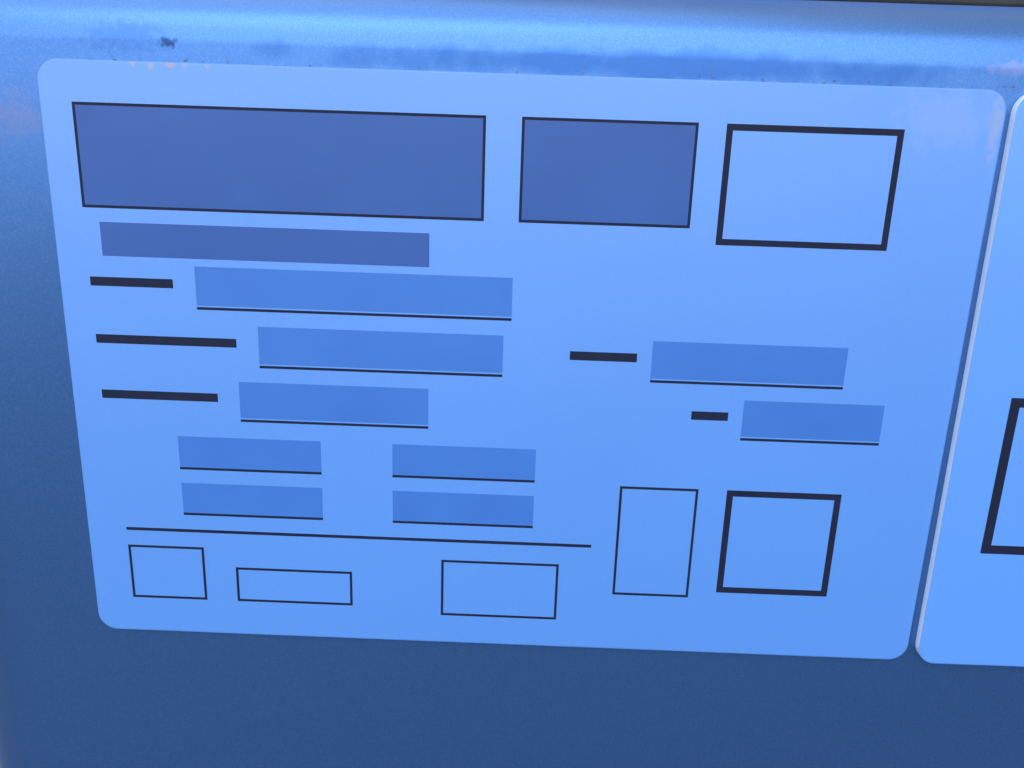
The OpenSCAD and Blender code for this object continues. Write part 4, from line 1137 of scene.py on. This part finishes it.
@dataclass
class Cabinet(SubAssembly):
    """Screws, weld beads and sealing on the cabinet and its base.

    A screw is its head's radius and height, a bead its width and pitch. The roof's seal is its radius, its bend and
    its height above the roof's underside. The bare lengths are those from a corner to the first screw of a row.
    """

    screw: Pair = (6.5 * MM, 3.2 * MM)
    roof_inset: float = 22 * MM
    roof_bare: float = 140 * MM
    roof_rows: tuple[int, int] = (6, 3)
    roof_seal: Point = (1.3 * MM, 18 * MM, 0.4 * MM)
    header_inset: float = 18 * MM
    header_rise: float = 34 * MM
    header_bare: float = 173 * MM
    header_rows: tuple[int, int] = (3, 4)
    base_bead: Pair = (5 * MM, 1.8 * MM)
    cross_bars: int = 4
    bar_wide: float = 60 * MM
    bar_inset: float = 50 * MM
    skid_tall: float = 80 * MM
    weld_start: float = 338 * MM
    weld_long: float = 50 * MM
    collar_radius: float = 45.5 * MM
    collar_rise: float = 18.5 * MM
    collar_bead: Pair = (7 * MM, 2.2 * MM)
    collar_points: int = 40

    def build(self) -> None:
        """Adds the cabinet's screws, its seal and its welds."""
        self.roof()
        self.header()
        low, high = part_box("top_plate")
        radius, bend, up = self.roof_seal
        edge = [(x, y, low.z + up) for x, y in ((low.x, low.y), (high.x, low.y), (high.x, high.y), (low.x, high.y))]
        self.seal("cap_seal", edge, "frame", radius, bend)
        self.welds()

    def roof(self) -> None:
        """Sets the roof's screws along its four edges."""
        low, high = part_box("top_plate")
        inset, bare = self.roof_inset, self.roof_bare
        across, along = self.roof_rows
        heads = [(x, y, high.z) for x in steps(low.x + inset, high.x - inset, across)
                 for y in (low.y + inset, high.y - inset)]
        heads += [(x, y, high.z) for x in (low.x + inset, high.x - inset)
                  for y in steps(low.y + bare, high.y - bare, along)]
        self.screws("cap_screws", heads, Axis.UP, self.screw, 1)

    def header(self) -> None:
        """Sets the header's screws along its left end and its lower edge."""
        low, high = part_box("front_header")
        left, up = low.x + self.header_inset, self.header_rise
        upright, across = self.header_rows
        heads = [(left, low.y, z) for z in steps(low.z + up, high.z - up, upright)]
        heads += [(x, low.y, low.z + up)
                  for x in steps(low.x + self.header_bare, high.x - self.header_inset, across)]
        self.screws("header_screws", heads, Axis.FRONT, self.screw, 2)

    def welds(self) -> None:
        """Lays the beads between the skids and the cross bars, and round the cylinder's foot."""
        low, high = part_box("base_frame")
        lines = []
        for y in steps(low.y + self.bar_inset, high.y - self.bar_inset, self.cross_bars):
            for side in (-1, 1):
                x, front = side * self.weld_start, y - self.bar_wide / 2
                lines.append([(x, front, self.skid_tall), (x + side * self.weld_long, front, self.skid_tall)])
        self.recipes.welds.grow("base_welds", trail(*lines), "frame", CHASSIS_PAINT, "frame_paint",
                                width=self.base_bead[0], pitch=self.base_bead[1], seed=5)
        low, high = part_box("cylinder_barrel")
        x, y, z = (low.x + high.x) / 2, (low.y + high.y) / 2, low.z + self.collar_rise
        ring = [(x + self.collar_radius * math.cos(a), y + self.collar_radius * math.sin(a), z)
                for a in steps(0, 2 * math.pi * (self.collar_points - 1) / self.collar_points, self.collar_points)]
        self.recipes.welds.grow("barrel_weld", trail(ring, closed=True), "frame", CHASSIS_PAINT, "frame_paint",
                                width=self.collar_bead[0], pitch=self.collar_bead[1], seed=6)


@dataclass
class Doors(SubAssembly):
    """Seals and spot welds of the bale door and the loading hatch, and the ribs of the hatch's grip.

    A spot weld is its radius and height, a rib the radius of its ring, the radius of its cord and the pitch.
    """

    seal_radius: float = 1.7 * MM
    seal_gap: float = 0.1 * MM
    seal_inset: float = 14 * MM
    seal_bend: float = 12 * MM
    weld_inset: float = 26 * MM
    weld_pitch: float = 62 * MM
    weld: Pair = (3.5 * MM, 0.6 * MM)
    rib_inset: float = 34 * MM
    grip_back: float = 8 * MM
    rib: Point = (8.1 * MM, 0.8 * MM, 4.2 * MM)

    def build(self) -> None:
        """Adds a seal and spot welds to each door, and ribs to the handle."""
        for node in ("bale_door", "loading_hatch"):
            low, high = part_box(node)
            y = high.y + self.seal_radius + self.seal_gap
            left, right, foot, top = self.inside(node, self.seal_inset)
            corners = [(left, y, foot), (right, y, foot), (right, y, top), (left, y, top)]
            self.seal(f"{node}_seal", corners, node, self.seal_radius, self.seal_bend)
        for node, body in (("bale_door_skin", "bale_door"), ("hatch_skin", "loading_hatch")):
            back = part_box(node)[1].y
            left, right, foot, top = self.inside(node, self.weld_inset)
            up, across = (round(length / self.weld_pitch) + 1 for length in (top - foot, right - left))
            dots = [(x, back, z) for x in (left, right) for z in steps(foot, top, up)]
            dots += [(x, back, z) for z in (foot, top) for x in steps(left, right, across)[1:-1]]
            self.recipes.spots.grow(f"{node}_spot_welds", spots(dots, Axis.BACK), body, LINER_STEEL, "liner_steel",
                                    radius=self.weld[0], height=self.weld[1])
        low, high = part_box("hatch_handle")
        x, y = (low.x + high.x) / 2, low.y + self.grip_back
        grip = trail([(x, y, low.z + self.rib_inset), (x, y, high.z - self.rib_inset)])
        self.recipes.ribs.grow("hatch_handle_ribs", grip, "loading_hatch", BLACK_NYLON, "black_plastic",
                               radius=self.rib[0], rib=self.rib[1], pitch=self.rib[2])

    @staticmethod
    def inside(node: str, inset: float) -> Rect:
        """A door's left, right, lower and upper edge, moved in by an inset."""
        low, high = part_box(node)
        return low.x + inset, high.x - inset, low.z + inset, high.z - inset


@dataclass
class PowerUnit(SubAssembly):
    """Gauge, sight glass, drain plug and screws of the valve block, the capacitor box and the oil tank.

    The profiles are in mm. A set of ticks is its name, count and length in mm, and the arc is the angle where they
    start and the angle they sweep. The needle is its width, how far left and down its tip lies, and its thickness.
    The glass's and the plug's middle are from the tank's right end, front and underside. A screw is its head's
    radius and height.
    """

    dial_in: float = 4 * MM
    face_out: float = 0.5 * MM
    dial: tuple[Pair, ...] = ((0, 0), (21.5, 0), (21.5, 0.4), (0, 0.4))
    ticks: tuple[tuple[str, int, float], ...] = (("gauge_long_ticks", 7, 4.0), ("gauge_short_ticks", 31, 2.0))
    tick_r: float = 19
    tick_wide: float = 0.45 * MM
    arc: Pair = (-45, 270)
    number_r: float = 12 * MM
    number_tall: float = 2.6 * MM
    numbers: tuple[int, ...] = (0, 100, 200, 300)
    needle: Rect = (1.2 * MM, 9 * MM, 11 * MM, 0.6 * MM)
    needle_out: float = 1.6 * MM
    hub: tuple[Pair, ...] = ((0, 0), (3, 0), (3, 1.6), (2, 2.2), (0, 2.2))
    hub_out: float = 0.4 * MM
    glass: tuple[Pair, ...] = ((0, 0), (13, 0), (13, 3), (11, 4.5), (8.5, 4.5), (8.5, 3), (0, 3))
    oil: tuple[Pair, ...] = ((0, 0), (8.3, 0), (8.3, 1), (5, 1.6), (0, 1.8))
    glass_at: Point = (70 * MM, 5 * MM, 80 * MM)
    oil_out: float = 2.9 * MM
    plug_at: Point = (30 * MM, 3 * MM, 26 * MM)
    washer: tuple[Pair, ...] = ((0, 0), (11, 0), (11, 3.5), (0, 3.5))
    plug: tuple[Pair, ...] = ((0, 0), (8.5, 0), (8.5, 8), (7.5, 9), (0, 9))
    lid_deep: float = 76 * MM
    lid_in: float = 12 * MM
    lid_screw: Pair = (3.4 * MM, 1.8 * MM)
    block_in: float = 10 * MM
    block_row: float = 23 * MM
    block_screw: Pair = (5 * MM, 4 * MM)

    def build(self) -> None:
        """Adds the gauge's face, the sight glass, the screws and the drain plug."""
        self.gauge()
        low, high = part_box("oil_tank")
        x, y, z = (high.x - self.glass_at[0], low.y + self.glass_at[1], low.z + self.glass_at[2])
        self.turned("sight_glass_ring", self.glass, (x, y, z), BEZEL_NICKEL, "bezel_chrome", 40)
        self.turned("sight_glass_oil", self.oil, (x, y - self.oil_out, z), OIL, "lamp_lens", 40)
        plug, corner = Shaper(), (high.x - self.plug_at[0], low.y + self.plug_at[1], low.z + self.plug_at[2])
        plug.spun(self.washer, corner, Axis.FRONT, 32)
        plug.spun(self.plug, corner, Axis.FRONT, 6)
        low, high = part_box("capacitor_box")
        lid = [(x, y, high.z) for x in (low.x + self.lid_in, high.x - self.lid_in)
               for y in (high.y - self.lid_deep + self.lid_in, high.y - self.lid_in)]
        self.screws("terminal_lid_screws", lid, Axis.UP, self.lid_screw, 8)
        low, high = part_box("valve_block")
        block = [(low.x + self.block_in + row, y, high.z) for row in (0, self.block_row)
                 for y in (low.y + self.block_in, high.y - self.block_in)]
        self.screws("valve_block_screws", block, Axis.UP, self.block_screw, 11)
        plug.done("drain_plug", "frame", FITTING_ZINC, "zinc_steel")

    def gauge(self) -> None:
        """Makes the dial with its ticks, numbers and needle."""
        low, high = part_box("pressure_gauge")
        x, z, y = (low.x + high.x) / 2, (low.z + high.z) / 2, low.y + self.dial_in
        self.turned("gauge_dial", self.dial, (x, y, z), DIAL_WHITE, "black_plastic", 48)
        face = y - self.face_out
        start, sweep = (math.radians(angle) for angle in self.arc)
        for name, count, length in self.ticks:
            self.recipes.ticks.grow(name, spots([(x, face, z)], Axis.FRONT), "frame", INK, "black_plastic",
                                    radius=(self.tick_r - length / 2) * MM, length=length * MM, width=self.tick_wide,
                                    start=start, sweep=sweep, count=count)
        numbers = Shaper()
        for value, angle in zip(self.numbers, steps(start + sweep, start, len(self.numbers))):
            place = (x + self.number_r * math.cos(angle), face, z + self.number_r * math.sin(angle))
            numbers.figure(str(value), place, self.number_tall)
        numbers.done("gauge_numbers", "frame", INK, "black_plastic")
        needle, (wide, left, down, thick) = Shaper(), self.needle
        needle.slab((x - wide / 2, y - self.needle_out, z), (wide, 0, 0), (-left, 0, -down), (0, -thick, 0))
        needle.spun(self.hub, (x, y - self.hub_out, z), Axis.FRONT, 24)
        needle.done("gauge_needle", "frame", BLACK_NYLON, "black_plastic")


@dataclass
class Reels(SubAssembly):
    """Strap wound on the three reels. The strap is its thickness and width; the slack widens the turns' pitch."""

    inner: float = 64.3 * MM
    turns: float = 5.0
    strap: Pair = (0.7 * MM, 52 * MM)
    slack: float = 1.15

    def build(self) -> None:
        """Winds the strap."""
        thick, wide = self.strap
        for k in (1, 2, 3):
            low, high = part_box(f"strap_reel_{k}")
            self.recipes.winding.grow(f"strap_winding_{k}", spots([tuple((low + high) / 2)], Axis.RIGHT), f"reel_{k}",
                                      STRAP, "strap_green", inner=self.inner, width=wide, thickness=thick,
                                      outer=self.inner + self.turns * thick * self.slack, turns=self.turns)


@dataclass
class Controls(SubAssembly):
    """Screws, seal, switch figures and yellow disc on the control box, and the screws of the door switches.

    A screw is its head's radius and height, the seal its radius and bend, and the disc's profile is in mm.
    """

    box_in: float = 12 * MM
    box_screw: Pair = (4 * MM, 2 * MM)
    joint: float = 22 * MM
    joint_seal: Pair = (0.9 * MM, 5 * MM)
    reach: float = 25.2 * MM
    figure_tall: float = 5.5 * MM
    disc: tuple[Pair, ...] = ((0, 0), (29, 0), (29, 0.8), (28.4, 1.2), (0, 1.2))
    switch_half: float = 42 * MM
    switch_up: float = 33 * MM
    switch_in: float = 15 * MM
    switch_screw: Pair = (4 * MM, 1.8 * MM)

    def build(self) -> None:
        """Adds the controls' small pieces."""
        low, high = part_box("control_box")
        corners = [(x, low.y, z) for x in (low.x + self.box_in, high.x - self.box_in)
                   for z in (low.z + self.box_in, high.z - self.box_in)]
        self.screws("control_box_screws", corners, Axis.FRONT, self.box_screw, 9, nickel=True)
        front, y = low.y, low.y + self.joint
        loop = [(low.x, y, low.z), (high.x, y, low.z), (high.x, y, high.z), (low.x, y, high.z)]
        self.seal("control_box_seal", loop, "frame", *self.joint_seal)
        low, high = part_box("main_switch")
        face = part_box("button_bezels")[0].y
        x, z = (low.x + high.x) / 2, (low.z + high.z) / 2
        figures = Shaper()
        figures.figure("0", (x, face, z + self.reach), self.figure_tall)
        figures.figure("1", (x + self.reach, face, z), self.figure_tall)
        figures.done("main_switch_figures", "frame", INK, "black_plastic")
        low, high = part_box("stop_button")
        self.turned("stop_button_disc", self.disc, ((low.x + high.x) / 2, front, (low.z + high.z) / 2), YELLOW_FILM,
                    "plate_film", 64)
        low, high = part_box("switches_and_catch")
        heads = [(high.x - self.switch_in, low.y, middle + up)
                 for middle in (low.z + self.switch_half, high.z - self.switch_half)
                 for up in (-self.switch_up, self.switch_up)]
        self.screws("door_switch_screws", heads, Axis.FRONT, self.switch_screw, 10, nickel=True)


# Studio


@dataclass(frozen=True)
class Softbox:
    """A rectangular lamp with an even face, where a glow of 1 is white. The camera doesn't see it."""

    name: str
    place: Point
    aim: Point
    wide: float
    tall: float
    glow: float

    def build(self, colour: str) -> None:
        """Hangs the lamp.

        Args:
            colour: The light's colour.
        """
        data = bpy.data.lights.new(self.name, "AREA")
        data.shape, data.size, data.size_y = "RECTANGLE", self.wide, self.tall
        data.energy, data.color = self.glow * math.pi * self.wide * self.tall, srgb(colour)[:3]
        lamp = bpy.data.objects.new(self.name, data)
        lamp.location = self.place
        lamp.visible_camera = False
        lamp.rotation_euler = (Vector(self.aim) - Vector(self.place)).to_track_quat("-Z", "Y").to_euler()
        bpy.context.scene.collection.objects.link(lamp)


@dataclass
class Studio:
    """Floor, light and the photograph's camera.

    The right softbox is what the panel in the photograph mirrors. The sky lights everything evenly in its tone, and
    the camera and shiny pieces see the room's tone instead.
    """

    camera_at: Point = (0.51085, -0.17778, 1.28145)
    camera_right: Point = (-0.0198, 0.9993, 0.0326)
    camera_back: Point = (0.9614, 0.0101, 0.2752)
    lens: float = 29.84
    sensor: float = 36.0
    daylight: str = "#deeaff"
    sun: float = 1.8
    sun_wide: float = 70.0
    sun_way: Point = (-0.25, 0.35, -1.0)
    sky: float = 0.25
    sky_tone: str = "#d6e5fa"
    room_tone: str = "#dde2e8"
    floor_half: float = 30.0
    softboxes: tuple[Softbox, ...] = (
        Softbox("right_softbox", (5.8, -0.2, 4.98), (0.4, -0.2, 2.53), 8.8, 7.7, 3.3),
        Softbox("corner_softbox", (4.4, -4.4, 1.9), (0.4, -0.2, 1.4), 3.0, 2.2, 2.4),
        Softbox("front_softbox", (-3.2, -7.2, 4.2), (0.0, 0.0, 1.0), 6.8, 4.8, 3.0),
        Softbox("rear_softbox", (-5.2, 6.4, 4.6), (0.0, 0.0, 1.0), 5.2, 4.8, 3.0),
    )

    def camera(self) -> None:
        """Places the camera as the photograph's was."""
        data = bpy.data.cameras.new("photograph")
        data.lens, data.sensor_width = self.lens, self.sensor
        data.clip_start, data.clip_end = 0.005, 120.0
        camera = bpy.data.objects.new("photograph", data)
        back = Vector(self.camera_back).normalized()
        up = back.cross(Vector(self.camera_right)).normalized()
        camera.matrix_world = (Matrix.Translation(self.camera_at)
                               @ Matrix((up.cross(back), up, back)).transposed().to_4x4())
        bpy.context.scene.collection.objects.link(camera)
        bpy.context.scene.camera = camera

    def overhead(self) -> None:
        """Adds the wide soft light from above, which is as strong on the whole floor."""
        data = bpy.data.lights.new("overhead", "SUN")
        data.energy, data.angle, data.color = self.sun, math.radians(self.sun_wide), srgb(self.daylight)[:3]
        lamp = bpy.data.objects.new("overhead", data)
        lamp.rotation_euler = Vector(self.sun_way).to_track_quat("-Z", "Y").to_euler()
        bpy.context.scene.collection.objects.link(lamp)

    def world(self) -> None:
        """A pale room: its own tone to the camera and in reflections, soft light otherwise."""
        world = bpy.data.worlds.new("pale room")
        bpy.context.scene.world = world
        world.use_nodes = True
        tree = world.node_tree
        tree.nodes.clear()
        path = add(tree, "ShaderNodeLightPath")
        seen = path.outputs["Is Camera Ray"]
        for key in ("Is Glossy Ray", "Is Transmission Ray"):
            seen = add(tree, "ShaderNodeMath", {0: seen, 1: path.outputs[key]}, operation="MAXIMUM")
        soft = add(tree, "ShaderNodeBackground", {"Color": srgb(self.sky_tone), "Strength": self.sky})
        pale = add(tree, "ShaderNodeBackground", {"Color": srgb(self.room_tone), "Strength": 1.0})
        mix = add(tree, "ShaderNodeMixShader", {0: seen, 1: soft, 2: pale})
        add(tree, "ShaderNodeOutputWorld", {"Surface": mix})

    def build(self) -> None:
        """Lays the floor, hangs the lamps and sets the camera."""
        floor = bpy.data.meshes.new("floor")
        half = self.floor_half
        floor.from_pydata([(-half, -half, 0), (half, -half, 0), (half, half, 0), (-half, half, 0)], [], [(0, 1, 2, 3)])
        floor.materials.append(FLOOR.material())
        ground = bpy.data.objects.new("floor", floor)
        bpy.context.scene.collection.objects.link(ground)
        for softbox in self.softboxes:
            softbox.build(self.daylight)
        self.overhead()
        self.world()
        self.camera()
        bpy.context.scene.view_settings.view_transform = "Standard"
        LOG.info("studio: floor, lamps and the camera")


def main() -> None:
    """Builds and dresses the compactor, sub-assembly by sub-assembly."""
    logging.basicConfig(level=logging.INFO, format="%(message)s")
    Studio().build()
    finish_nodes()
    recipes = Recipes()
    for part in (Plates, Cabinet, Doors, PowerUnit, Reels, Controls):
        LOG.info("%s", part.__name__)
        part(recipes).build()


if __name__ == "__main__":
    main()
